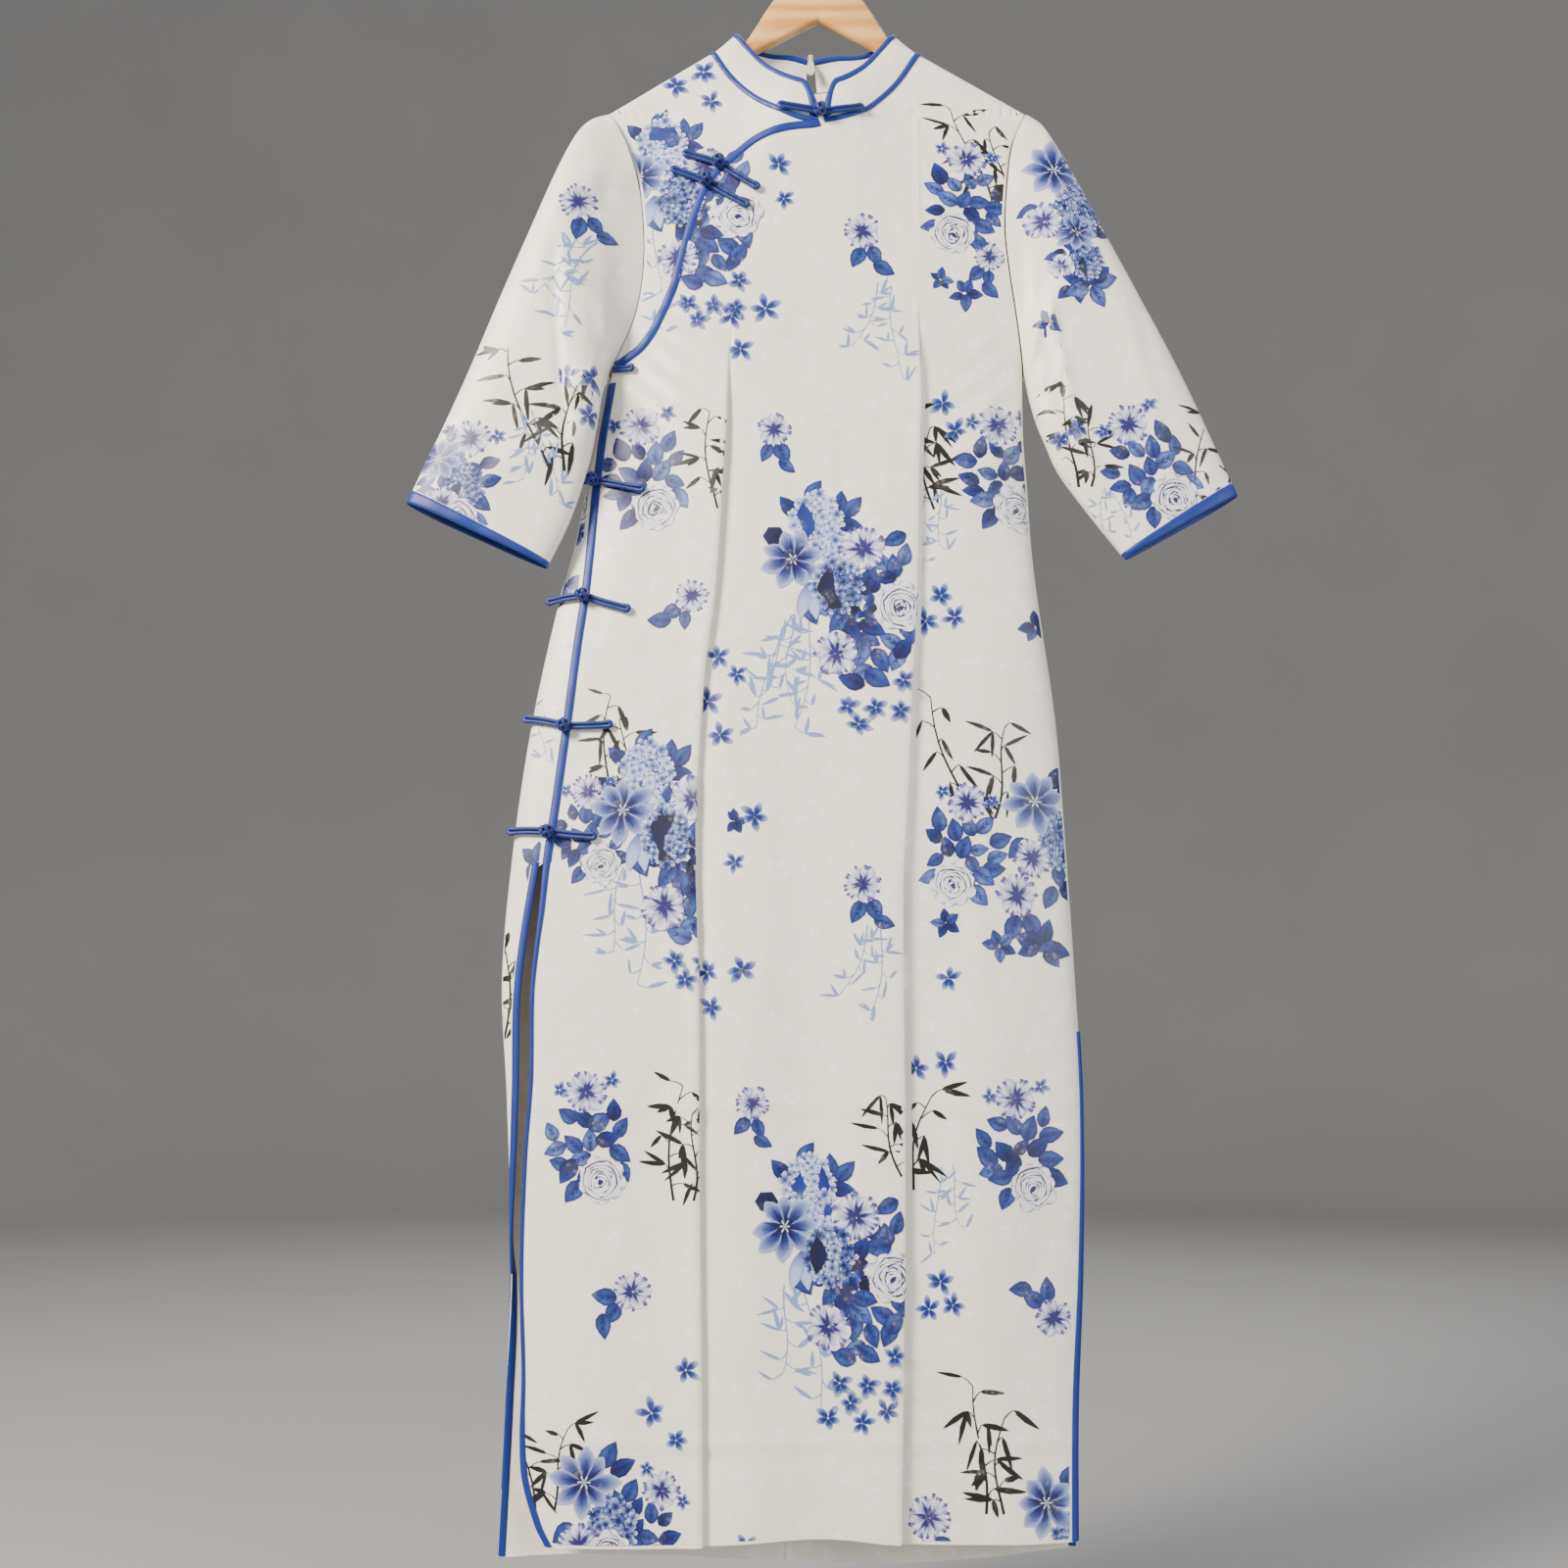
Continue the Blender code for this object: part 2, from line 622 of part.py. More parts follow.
def front_panel():
    columns, tops, hems = [], [], []
    for k in range(sum(FRONT_COUNTS) + 1):
        def column(drop, k=k):
            x = front_column_x(k, drop)
            return seam_shift(place(x, -depth(x, drop, FRONT), drop), FRONT)
        columns.append(column)
        tops.append(settle(0.2, lambda d, k=k: front_top(front_column_x(k, d))))
        hems.append(settle(1.4, lambda d, k=k: HEM_FRONT.at(front_column_x(k, d), "drop")))
    rows = rows_from_tops(columns, tops, hems)
    sheet("front_panel", rows, CLOTH_WALL, CLOTH, FAR_FRONT, face=FRONT)


def front_overlap():
    """Shoulder piece between the ridge, the armhole, the neck and the curved opening."""
    left_neck = [p for p in FRONT_NECK_LINE if p[0] < OPENING_LEFT[-1][0]]
    left_neck.append((OPENING_LEFT[-1][0], OPENING_LEFT[-1][1]))
    opening = list(reversed(OPENING_LEFT))
    tip_x = sides(TIP_DROP)[0] + ARMHOLE_GAP

    def on(line, t):
        i = min(int(t * (len(line) - 1)), len(line) - 2)
        f = t * (len(line) - 1) - i
        return Vector((blend(line[i][0], line[i + 1][0], f), blend(line[i][1], line[i + 1][1], f)))

    neck_x, neck_drop = left_neck[0]

    def ridge(u):
        x = blend(neck_x, tip_x, u)
        return Vector((x, blend(neck_drop, TIP_DROP, u)))

    def armhole(v):
        drop = blend(TIP_DROP, opening[-1][1], v)
        return Vector((sides(drop)[0] + ARMHOLE_GAP, drop))

    a, b, c, d = ridge(0), ridge(1), armhole(1), on(left_neck, 1)
    opening[-1] = tuple(c)
    rows = []
    for v in (0, 0.006, 0.02, 0.045, 0.1, 0.2, 0.32, 0.48, 0.65, 0.83, 1.0):
        row = []
        for j in range(15):
            u = j / 14
            flat = (ridge(u) * (1 - v) + on(opening, u) * v + on(left_neck, v) * (1 - u)
                    + armhole(v) * u
                    - (a * (1 - u) + b * u) * (1 - v) - (d * (1 - u) + c * u) * v)
            x, drop = flat
            drop = max(drop, ridge_drop(x))
            y = -depth(x, drop, FRONT) + OVERLAP_UNDER * v * v
            row.append(seam_shift(place(x, y, drop), FRONT))
        rows.append(row)
    sheet("front_overlap", rows, CLOTH_WALL, CLOTH, FAR_FRONT, face=FRONT)


def back_edge_turn(drop):
    """Turn at which the back's left edge ends: wrapped onto the front below the armpit."""
    if drop < ARMPIT_DROP:
        return math.pi + 0.13
    if drop < SLIT_LEFT_DROP:
        wrapped = turn_at(FRONT_LINE.at(drop, "x") + UNDER_PIPING, drop)
        return blend(math.pi, wrapped, smooth((drop - ARMPIT_DROP) / 0.03))
    return math.pi - BACK_WRAP.at(drop, "turn")


def zip_line_x(drop):
    """Centre back seam: from the collar's back to the middle of the hem."""
    left, right = sides(max(drop, TIP_DROP))
    return blend(ZIP_X, (left + right) / 2, smooth(drop / 0.35))


def back_half(name, side):
    columns, tops, hems = [], [], []
    inside, outside = 6, 7
    corner_x = BACK_NECK_LINE[0 if side < 0 else -1][0]
    for k in range(inside + 1 + outside + 1):
        def turn(drop, k=k):
            middle = 2 * math.pi - turn_at(zip_line_x(drop) + side * SEAM_GAP, drop)
            near = 2 * math.pi - turn_at(corner_x - side * 0.006, drop)
            corner = 2 * math.pi - turn_at(corner_x, drop)
            edge = back_edge_turn(drop) if side < 0 else 2 * math.pi - 0.06
            if k <= inside:
                return blend(middle, near, k / inside)
            return blend(corner, edge, (k - inside - 1) / outside)

        def column(drop, turn=turn):
            return seam_shift(ring(turn(drop), drop), BACK)

        def back_top(drop, turn=turn):
            x = ring(turn(drop), drop).x
            if BACK_NECK_LINE[0][0] < x < BACK_NECK_LINE[-1][0]:
                return max(drop_on(BACK_NECK_LINE, x), ridge_drop(x))
            return ridge_drop(x)

        columns.append(column)
        tops.append(settle(0.1, back_top))
        hems.append(settle(1.42, lambda d, t=turn: HEM_BACK.at(ring(t(d), d).x, "drop")))
    rows = rows_from_tops(columns, tops, hems)
    sheet(name, rows, CLOTH_WALL, CLOTH, FAR_BACK, face=BACK)


# Sleeves

def sleeve_point(which, s, angle):
    """Point of a sleeve: s along it, angle 0 at the outer edge, pi at the inner edge."""
    table, side = SLEEVES[which], SLEEVE_SIDE[which]
    t = (1 - math.cos(angle)) / 2
    seam_x = lambda f: ARMHOLE.at(blend(TIP_DROP, ARMPIT_DROP, f), side)
    bulge = seam_x(t) - blend(seam_x(0), seam_x(1), t)
    x = blend(table.at(s, "out_x"), table.at(s, "in_x"), t) + bulge * max(0, 1 - s / 0.35)**2
    drop = blend(table.at(s, "out_drop"), table.at(s, "in_drop"), t)
    thick = oval(t, max(0.0, 1 - s / 0.3))
    y = -math.copysign(table.at(s, "depth") * thick, math.sin(angle)) - table.at(s, "forward")
    return place(x, y, drop)


def sleeve(which):
    steps = (0, 0.04, 0.08, 0.13, 0.19, 0.27, 0.36, 0.46, 0.57, 0.68, 0.79, 0.90, 0.985)
    around = 20
    rows = [[sleeve_point(which, s, 2 * math.pi * (k + 0.5) / around) for k in range(around)]
            for s in steps]
    for row in rows[:1]:
        for p in row:
            p.x += math.copysign(ARMHOLE_GAP, p.x)
    sheet("sleeve_" + which, rows, CLOTH_WALL, CLOTH, rows[6][6] + Vector((0, -9, 0)), closed=True)
    cuff = [[sleeve_point(which, s, 2 * math.pi * (k + 0.5) / around) for k in range(around)]
            for s in (0.9865, 1.0)]
    sheet("sleeve_binding_" + which, cuff, BAND_WALL, BINDING,
          cuff[0][6] + Vector((0, -9, 0)), closed=True)


# Collar

def collar_base(which, q):
    """Foot of the collar on the neckline."""
    middle = blend(COLLAR_FRONT_X[which], COLLAR_BACK_X, q)
    side_x = NECK_FRONT.rows[0 if which == "right" else -1][0]
    x = blend(middle, side_x, math.sin(math.pi * q))
    face, table = (FRONT, NECK_FRONT) if q < 0.5 else (BACK, NECK_BACK)
    drop = max(table.at(x, "drop"), ridge_drop(x))
    return place(x, face * depth(x, drop, face), drop)


def collar_point(which, length, height):
    """Point of the collar from its flat form: length from the front end, height."""
    q = length / COLLAR_LENGTH
    top = COLLAR_TOP[which]
    base = collar_base(which, q)
    edge = place(top.at(q, "x"), top.at(q, "y"), top.at(q, "drop"))
    return base.lerp(edge, height / COLLAR_HEIGHT)


def collar_edge(count=30):
    """Collar's upper edge in its flat form: a quarter ellipse at the front end."""
    line = []
    for i in range(9):
        a = math.pi / 2 * i / 8
        line.append((COLLAR_END_RADIUS * (1 - math.cos(a)), COLLAR_HEIGHT * math.sin(a)))
    rest = COLLAR_LENGTH - COLLAR_END_RADIUS - ZIP_GAP
    line += [(COLLAR_END_RADIUS + rest * i / (count - 9), COLLAR_HEIGHT)
             for i in range(1, count - 8)]
    return line


def collar(which):
    edge = collar_edge()
    inner = moved_aside(edge, -COLLAR_BAND_WIDTH)
    body_edge = moved_aside(edge, -COLLAR_BAND_WIDTH - 2 * SEAM_GAP)
    inner[0] = (inner[0][0], 0.0)
    body_edge[0] = (body_edge[0][0], 0.0)
    outward = Vector((0, -3, NECK_Z))
    inner = [(l, max(0.0, 2 * COLLAR_HEIGHT - h) if h > COLLAR_HEIGHT else h) for l, h in inner]
    a = [collar_point(which, l, h) for l, h in edge]
    b = [collar_point(which, l, max(h, 0.0006)) for l, h in inner]
    band("collar_binding_" + which, (a, b), BINDING, outward, COLLAR_WALL + 0.0006)
    lengths = [body_edge[0][0] + 0.0006 + 0.0042 * i for i in range(5)]
    lengths += [l for l, h in edge if h == COLLAR_HEIGHT]
    rows = []
    for r in range(4):
        row = []
        for l in lengths:
            top = min(drop_on(body_edge, l), COLLAR_HEIGHT - COLLAR_BAND_WIDTH - 2 * SEAM_GAP)
            row.append(collar_point(which, l, blend(0.0004, top, r / 3)))
        rows.append(row)
    sheet("collar_" + which, rows, COLLAR_WALL, CLOTH, outward)


def neck_piping(which):
    """Piping along one half of the neck seam, over the shoulder ridge."""
    inner, middle_line, outer = [], [], []
    steps = 26
    for i in range(steps + 1):
        q = blend(0.004, 0.993, i / steps)
        for line, t in ((inner, 0), (middle_line, 0.5), (outer, 1)):
            distance = SEAM_GAP + NECK_PIPING_WIDTH * t
            middle = blend(COLLAR_FRONT_X[which], COLLAR_BACK_X, q)
            side_x = NECK_FRONT.rows[0 if which == "right" else -1][0]
            x = blend(middle, side_x, math.sin(math.pi * q))
            face, table = (FRONT, NECK_FRONT) if q < 0.5 else (BACK, NECK_BACK)
            x, drop = away_from_neck(x, table.at(x, "drop"), distance)
            drop = max(drop, ridge_drop(x))
            line.append(body(x, drop + 1e-5, face, PIPING_LIFT))
    band("neck_piping_" + which, (inner, middle_line, outer), BINDING, Vector((0, -3, NECK_Z)))


# Piping and bindings of the body

def opening_piping():
    line = sampled(OPENING, 26, 0.012, 0.975)
    lines = [moved_aside(line, aside * PIPING_WIDTH / 2) for aside in (-1, 0, 1)]
    band("opening_piping", [[body(x, d, lift=PIPING_LIFT) for x, d in some] for some in lines],
         BINDING, FAR_FRONT)


def front_strip(name, start, end, count):
    """Band down the front's left edge."""
    drops = [blend(start, end, i / count) for i in range(count + 1)]
    lines = [[body(FRONT_LINE.at(d, "x") + t * PIPING_WIDTH, d, lift=BAND_LIFT) for d in drops]
             for t in (0, 0.4, 1)]
    band(name, lines, BINDING, FAR_FRONT)


def slit_strip(name, turn, inward, start, hem, outward, count=18):
    """Band along a slit edge of the back or of the front's right side."""
    widths = (0, 0.15, 0.45, 1)
    lines = [[] for _ in widths]
    for i in range(count + 1):
        drop = blend(start, hem, i / count)
        step, width = turn(drop), 0.0
        for line, t in zip(lines, widths):
            while width < PIPING_WIDTH * t:
                width += (ring(step + inward * 0.004, drop) - ring(step, drop)).length
                step += inward * 0.004
            line.append(ring_out(step, drop, BAND_LIFT))
    band(name, lines, BINDING, outward)


def panel_bands():
    opening_piping()
    front_strip("side_piping", ARMPIT_DROP + 0.020, SLIT_LEFT_DROP - SEAM_GAP, 20)
    front_strip("slit_binding_front_right", SLIT_LEFT_DROP, 1.4128, 20)


# Frogs

def frog_ground(x, drop):
    """Front surface under a frog; past the side the cord runs on straight, clear of the body."""
    limit = sides(drop)[0] + 0.007 if drop > 0.2 else -1.0
    y = -depth(max(x, limit), drop, FRONT)
    if x < limit:
        y += 0.55 * (limit - x)
    return place(x, y, drop)


def frog_arm(start, end, lift, loop=None, steps=6):
    """Flattened cord to a rounded end, from the middle or from the rim of the loop."""
    path, ups, widths = [], [], []
    for i in range(steps + 1):
        t = i / steps
        x, drop = blend(start[0], end[0], t), blend(start[1], end[1], t)
        e = 0.001
        ground = frog_ground(x, drop)
        up = (frog_ground(x + e, drop) - frog_ground(x - e, drop)).cross(
            frog_ground(x, drop + e) - frog_ground(x, drop - e)).normalized()
        if up.y > 0:
            up = -up
        path.append(ground + up * (lift + CORD_HEIGHT / 2))
        ups.append(up)
        widths.append(CORD_WIDTH / 2 * (1.3 if i == steps - 1 else 0.8 if i == steps else 1))
    if loop is not None:
        path[0] = loop + (path[1] - loop).normalized() * LOOP_RADIUS
    return tube(path, ups, widths, CORD_HEIGHT / 2)


def ring_loop(centre, axis, radius, cord, count=10, around=5):
    side = axis.orthogonal().normalized()
    other = axis.cross(side).normalized()
    points, faces = [], []
    for i in range(count):
        a = 2 * math.pi * i / count
        out = side * math.cos(a) + other * math.sin(a)
        for k in range(around):
            b = 2 * math.pi * k / around
            points.append(centre + out * (radius + cord * math.cos(b)) + axis * cord * math.sin(b))
    for i in range(count):
        for k in range(around):
            a, b = i * around, (i + 1) % count * around
            faces.append((a + k, a + (k + 1) % around, b + (k + 1) % around, b + k))
    return points, faces


def frog(number):
    get = lambda column: FROGS.at(number, column)
    centre = (get("x"), get("drop"))
    left, right = (get("left_x"), get("left_drop")), (get("right_x"), get("right_drop"))
    lift = FROG_LIFT + (0.0003 if number == 1 else 0.0)
    if number == HIDDEN_FROG:
        points, faces = frog_arm(left, right, lift)
        add(f"frog_{number}_loop", points, faces, BINDING)
        return
    e = 0.001
    ground = frog_ground(*centre)
    axis = (frog_ground(centre[0] + e, centre[1]) - frog_ground(centre[0] - e, centre[1])).cross(
        frog_ground(centre[0], centre[1] + e) - frog_ground(centre[0], centre[1] - e)).normalized()
    if axis.y > 0:
        axis = -axis
    base = ground + axis * lift
    knot = [(CORD_HEIGHT / 2, 0.0016), (KNOT_HEIGHT - 0.86 * KNOT_RADIUS, 0.0018)]
    knot += [(KNOT_HEIGHT + KNOT_RADIUS * math.sin(a), KNOT_RADIUS * math.cos(a))
             for a in (-0.8, -0.3, 0.2, 0.7, 1.25)]
    toward = 0.004 / math.dist(centre, left)
    near = (blend(centre[0], left[0], toward), blend(centre[1], left[1], toward))
    arm_right = frog_arm(centre, right, lift)
    loop_centre = base + axis * (CORD_HEIGHT + LOOP_RISE)
    arm_left = frog_arm(near, left, lift, loop_centre)
    loop = ring_loop(loop_centre, axis, LOOP_RADIUS, LOOP_CORD)
    for side, solids in (("knot", (arm_right, lathe(base, axis, knot))),
                         ("loop", (arm_left, loop))):
        weld(add(f"frog_{number}_{side}", *joined(*solids), BINDING))


# Hanger

def hanger():
    """Contoured wooden hanger: rounded sections set along its width."""
    rows = []
    xs = [-HANGER_HALF_WIDTH, -0.15, -0.115, -0.105, -0.09, -0.079, -0.067, -0.056, -0.044,
          -0.030, -0.014, 0.0]
    xs += [-x for x in reversed(xs[:-1])]
    half = HANGER_THICKNESS / 2
    for x in xs:
        if abs(x) >= HANGER_UNDER_CLOTH:
            top = NECK_Z - ridge_drop(x) - 1.2 * CLOTH_WALL - HANGER_CLEARANCE
        else:
            top = HANGER_UPPER.at(abs(x), "z")
        bottom = HANGER_LOWER.at(abs(x), "z")
        r = min(half, (top - bottom) / 2)
        row = []
        for centre, start in ((top - r, 0), (bottom + r, math.pi)):
            for k in range(5):
                a = start + math.pi * k / 4
                row.append(Vector((x, half * math.cos(a), centre + r * math.sin(a))))
        rows.append(row)
    n = len(rows[0])
    points = [p for row in rows for p in row]
    faces = [tuple(range(n)), tuple(range(len(points) - n, len(points)))]
    for i in range(len(rows) - 1):
        for k in range(n):
            a, b = i * n + k, i * n + (k + 1) % n
            faces.append((a, b, b + n, a + n))
    add("hanger", points, faces, WOOD)


def hanger_hook():
    """Wire from the top of the wood round a rail, open on the left."""
    centre_z = -HOOK_RADIUS + WIRE_RADIUS
    path = [Vector((0, 0, z)) for z in (HANGER_PEAK_Z + SEAM_GAP, -0.072, -0.056)]
    path.append(Vector((0.0045, 0, centre_z - HOOK_RADIUS - 0.008)))
    for i in range(15):
        a = math.radians(blend(-52, 200, i / 14))
        path.append(Vector((HOOK_RADIUS * math.cos(a), 0, centre_z + HOOK_RADIUS * math.sin(a))))
    ups = [Vector((0, -1, 0))] * len(path)
    points, faces = tube(path, ups, WIRE_RADIUS, WIRE_RADIUS, 8)
    add("hanger_hook", points, faces, STEEL)


# Zip

def zip_parts():
    """Slider in the back of the collar and the pull that swings on its pin."""
    top = COLLAR_TOP["right"]
    edge = place(ZIP_X, top.at(1, "y"), top.at(1, "drop"))
    foot = collar_base("right", 1.0)
    down = (foot - edge).normalized()
    side = Vector((1, 0, 0))
    out = down.cross(side)
    if out.y < 0:
        out = -out
    middle = edge - out * COLLAR_WALL / 2
    pin = middle - down * PIN_HEIGHT
    wide, thick, tall = SLIDER_SIZE
    ear, ear_gap = 0.0008, 0.0016

    def box(x0, x1, y0, y1, z0, z1):
        corners = [pin + side * x + out * y - down * z
                   for x in (x0, x1) for y in (y0, y1) for z in (z0, z1)]
        faces = [(0, 1, 3, 2), (4, 6, 7, 5), (0, 4, 5, 1), (2, 3, 7, 6), (0, 2, 6, 4), (1, 5, 7, 3)]
        return corners, faces

    block_top = -PIN_HEIGHT
    parts = [box(-wide / 2, wide / 2, -thick / 2, thick / 2, block_top - tall, block_top)]
    for sign in (-1, 1):
        a, b = sorted((sign * ear_gap, sign * (ear_gap + ear)))
        parts.append(box(a, b, -thick / 2, thick / 2, block_top, PIN_RADIUS + 0.0005))
    parts.append(lathe(pin - side * ear_gap, side, [(0, PIN_RADIUS), (2 * ear_gap, PIN_RADIUS)]))
    points, faces = joined(*parts)
    slider = add("zip_slider", points, faces, ZIP_METAL)
    weld(slider)

    eye = PIN_RADIUS + EYE_CLEARANCE
    outline = [(0.0013, -0.0016), (0.0013, 0.0055), (0.0036, 0.0125), (0.0042, 0.0185),
               (0.0028, 0.0235), (0.0, PULL_LENGTH)]
    outline += [(-x, z) for x, z in reversed(outline[:-1])]
    lean = Vector((0, -math.sin(PULL_LEAN), -math.cos(PULL_LEAN)))
    face_out = Vector((0, -math.cos(PULL_LEAN), math.sin(PULL_LEAN)))
    half = 0.0005
    pull_points = [pin + side * x + lean * z + face_out * s * half
                   for s in (-1, 1) for x, z in outline]
    n = len(outline)
    pull_faces = [tuple(range(n)), tuple(range(n, 2 * n))]
    pull_faces += [(i, (i + 1) % n, n + (i + 1) % n, n + i) for i in range(n)]
    eye_wall = eye + 0.0007
    barrel = lathe(pin - side * 0.0013, side, [(0, eye_wall), (0.0026, eye_wall)], 12)
    bore = lathe(pin - side * 0.004, side, [(0, eye), (0.008, eye)], 12)
    pull = add("zip_pull", [p for p in pull_points], pull_faces, ZIP_METAL, pin)
    for operation, solid in (("UNION", barrel), ("DIFFERENCE", bore)):
        cut(pull, add("zip_cutter", solid[0], solid[1], ZIP_METAL), operation)
    return pin


def weld(obj):
    """Joins the overlapping solids of one piece into one."""
    mod = obj.modifiers.new("union", "BOOLEAN")
    mod.operation, mod.solver, mod.use_self = "UNION", "EXACT", True
    cutter = bpy.data.objects.new("empty_cutter", bpy.data.meshes.new("empty_cutter"))
    bpy.context.scene.collection.objects.link(cutter)
    mod.object = cutter
    apply_modifiers(obj)
    bpy.data.objects.remove(cutter, do_unlink=True)


def cut(obj, cutter, operation):
    bpy.context.view_layer.update()
    mod = obj.modifiers.new("cut", "BOOLEAN")
    mod.operation, mod.solver, mod.object = operation, "EXACT", cutter
    apply_modifiers(obj)
    bpy.data.objects.remove(cutter, do_unlink=True)


def apply_modifiers(obj):
    bpy.context.view_layer.update()
    graph = bpy.context.evaluated_depsgraph_get()
    mesh = bpy.data.meshes.new_from_object(obj.evaluated_get(graph))
    obj.modifiers.clear()
    obj.data = mesh


def build():
    front_panel()
    front_overlap()
    back_half("back_right", -1)
    back_half("back_left", 1)
    for which in ("left", "right"):
        sleeve(which)
        collar(which)
        neck_piping(which)
    panel_bands()
    slit_strip("slit_binding_back_right", back_edge_turn, 1,
               SLIT_LEFT_DROP + 0.002, 1.4270, Vector((-0.5, -1, -1.2)))
    slit_strip("slit_binding_front_left", lambda d: 0.06, 1, SLIT_RIGHT_DROP, 1.4095,
               FAR_FRONT)
    slit_strip("slit_binding_back_left", lambda d: 2 * math.pi - 0.06, -1, SLIT_RIGHT_DROP,
               1.4170, FAR_BACK)
    for number in range(1, 9):
        frog(number)
    hanger()
    hanger_hook()
    zip_parts()


build()
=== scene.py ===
"""Looks of the cheongsam dress on its hanger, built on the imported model.

Metres, +Z up, front towards -Y. The origin is where a rail bears inside the hook.
A "drop" is the distance below the neck points, where the shoulder seams meet the collar.
Left and right in the tables are the viewer's; in the names of the pieces, the wearer's.
"""
import math
import random

import bmesh
import bpy
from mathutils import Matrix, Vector, noise


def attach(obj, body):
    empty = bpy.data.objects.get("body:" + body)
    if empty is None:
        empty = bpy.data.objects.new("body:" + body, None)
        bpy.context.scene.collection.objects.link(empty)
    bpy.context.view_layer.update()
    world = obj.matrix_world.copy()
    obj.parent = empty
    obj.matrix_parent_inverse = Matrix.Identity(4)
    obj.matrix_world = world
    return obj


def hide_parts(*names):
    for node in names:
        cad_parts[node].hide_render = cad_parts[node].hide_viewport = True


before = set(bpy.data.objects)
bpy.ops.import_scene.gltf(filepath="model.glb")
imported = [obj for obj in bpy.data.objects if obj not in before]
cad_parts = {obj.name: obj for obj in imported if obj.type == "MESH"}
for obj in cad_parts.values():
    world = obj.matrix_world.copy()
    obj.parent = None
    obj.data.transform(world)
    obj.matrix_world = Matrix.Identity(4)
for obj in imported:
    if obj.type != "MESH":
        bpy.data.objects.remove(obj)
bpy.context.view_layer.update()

FRONT, BACK = -1, 1

# Cloth and seams
CLOTH_WALL = 0.0009
COLLAR_WALL = 0.0018
SEAM_GAP = 0.0003
PIPING_WIDTH = 0.007
UNDER_PIPING = 0.0022
OVERLAP_UNDER = 0.0010
SEAM_DIP = 0.0012

# Places on the body
NECK_Z = -0.184
TIP_DROP = 0.0655
ARMPIT_DROP = 0.337
SLIT_LEFT_DROP = 0.816
SLIT_RIGHT_DROP = 0.970
RIDGE_RADIUS = 0.0090
ARMHOLE_DEPTH = 0.019
ROUNDNESS = 2.6
NECK_HUB = (-0.003, -0.070)


class Table:
    """Rows of sizes under named columns, read between the rows along a smooth curve."""

    def __init__(self, columns, rows):
        self.columns = columns.split()
        self.rows = rows

    def at(self, key, column):
        c, rows = self.columns.index(column), self.rows
        key = min(max(key, rows[0][0]), rows[-1][0])
        i = next(n for n in range(len(rows) - 1) if key <= rows[n + 1][0])
        a, b = rows[i], rows[i + 1]
        before, after = rows[max(i - 1, 0)], rows[min(i + 2, len(rows) - 1)]
        span = b[0] - a[0]
        t = (key - a[0]) / span
        rise_a = span * (b[c] - before[c]) / (b[0] - before[0])
        rise_b = span * (after[c] - a[c]) / (after[0] - a[0])
        return ((2 * t**3 - 3 * t**2 + 1) * a[c] + (t**3 - 2 * t**2 + t) * rise_a
                + (3 * t**2 - 2 * t**3) * b[c] + (t**3 - t**2) * rise_b)


# Below the armpits: x of both sides, depth of the front and the back from y = 0
OUTLINE = Table("drop left right front back", [
    (0.337, -0.2030, 0.1975, 0.026, 0.022),
    (0.370, -0.2078, 0.1970, 0.027, 0.022),
    (0.410, -0.2155, 0.1974, 0.028, 0.023),
    (0.453, -0.2245, 0.1998, 0.029, 0.024),
    (0.512, -0.2350, 0.2025, 0.030, 0.025),
    (0.560, -0.2475, 0.2070, 0.031, 0.025),
    (0.684, -0.2717, 0.2216, 0.033, 0.026),
    (0.800, -0.2862, 0.2280, 0.034, 0.026),
    (0.923, -0.2939, 0.2335, 0.033, 0.026),
    (1.030, -0.2868, 0.2370, 0.031, 0.025),
    (1.177, -0.2795, 0.2335, 0.028, 0.022),
    (1.300, -0.2830, 0.2262, 0.025, 0.020),
    (1.435, -0.2872, 0.2228, 0.023, 0.018),
])

# Armhole seams
ARMHOLE = Table("drop left right", [
    (0.0655, -0.2082, 0.2062),
    (0.104, -0.1893, 0.1905),
    (0.147, -0.1766, 0.1842),
    (0.195, -0.1712, 0.1812),
    (0.240, -0.1715, 0.1850),
    (0.285, -0.1795, 0.1910),
    (0.337, -0.2030, 0.1975),
])

# Neckline, where the collar stands
NECK_FRONT = Table("x drop", [
    (-0.1042, -0.0025), (-0.0860, 0.0258), (-0.0635, 0.0498), (-0.0390, 0.0675),
    (-0.0195, 0.0765), (0.0010, 0.0805), (0.0235, 0.0765), (0.0430, 0.0675),
    (0.0530, 0.0590), (0.0754, 0.0340), (0.0980, -0.0011),
])
NECK_BACK = Table("x drop", [
    (-0.1042, -0.0025), (-0.0980, 0.0045), (-0.0850, 0.0125), (-0.0550, 0.0220),
    (-0.0075, 0.0280), (0.0480, 0.0225), (0.0790, 0.0130), (0.0920, 0.0055), (0.0980, -0.0011),
])

# Middle line of the piping on the curved front opening
OPENING = Table("x drop", [
    (-0.1990, 0.3332), (-0.1782, 0.3208), (-0.1640, 0.3051), (-0.1509, 0.2789),
    (-0.1406, 0.2532), (-0.1342, 0.2282), (-0.1278, 0.2028), (-0.1204, 0.1770),
    (-0.1092, 0.1486), (-0.0968, 0.1318), (-0.0844, 0.1200), (-0.0632, 0.1025),
    (-0.0343, 0.0915), (-0.0040, 0.0880),
])

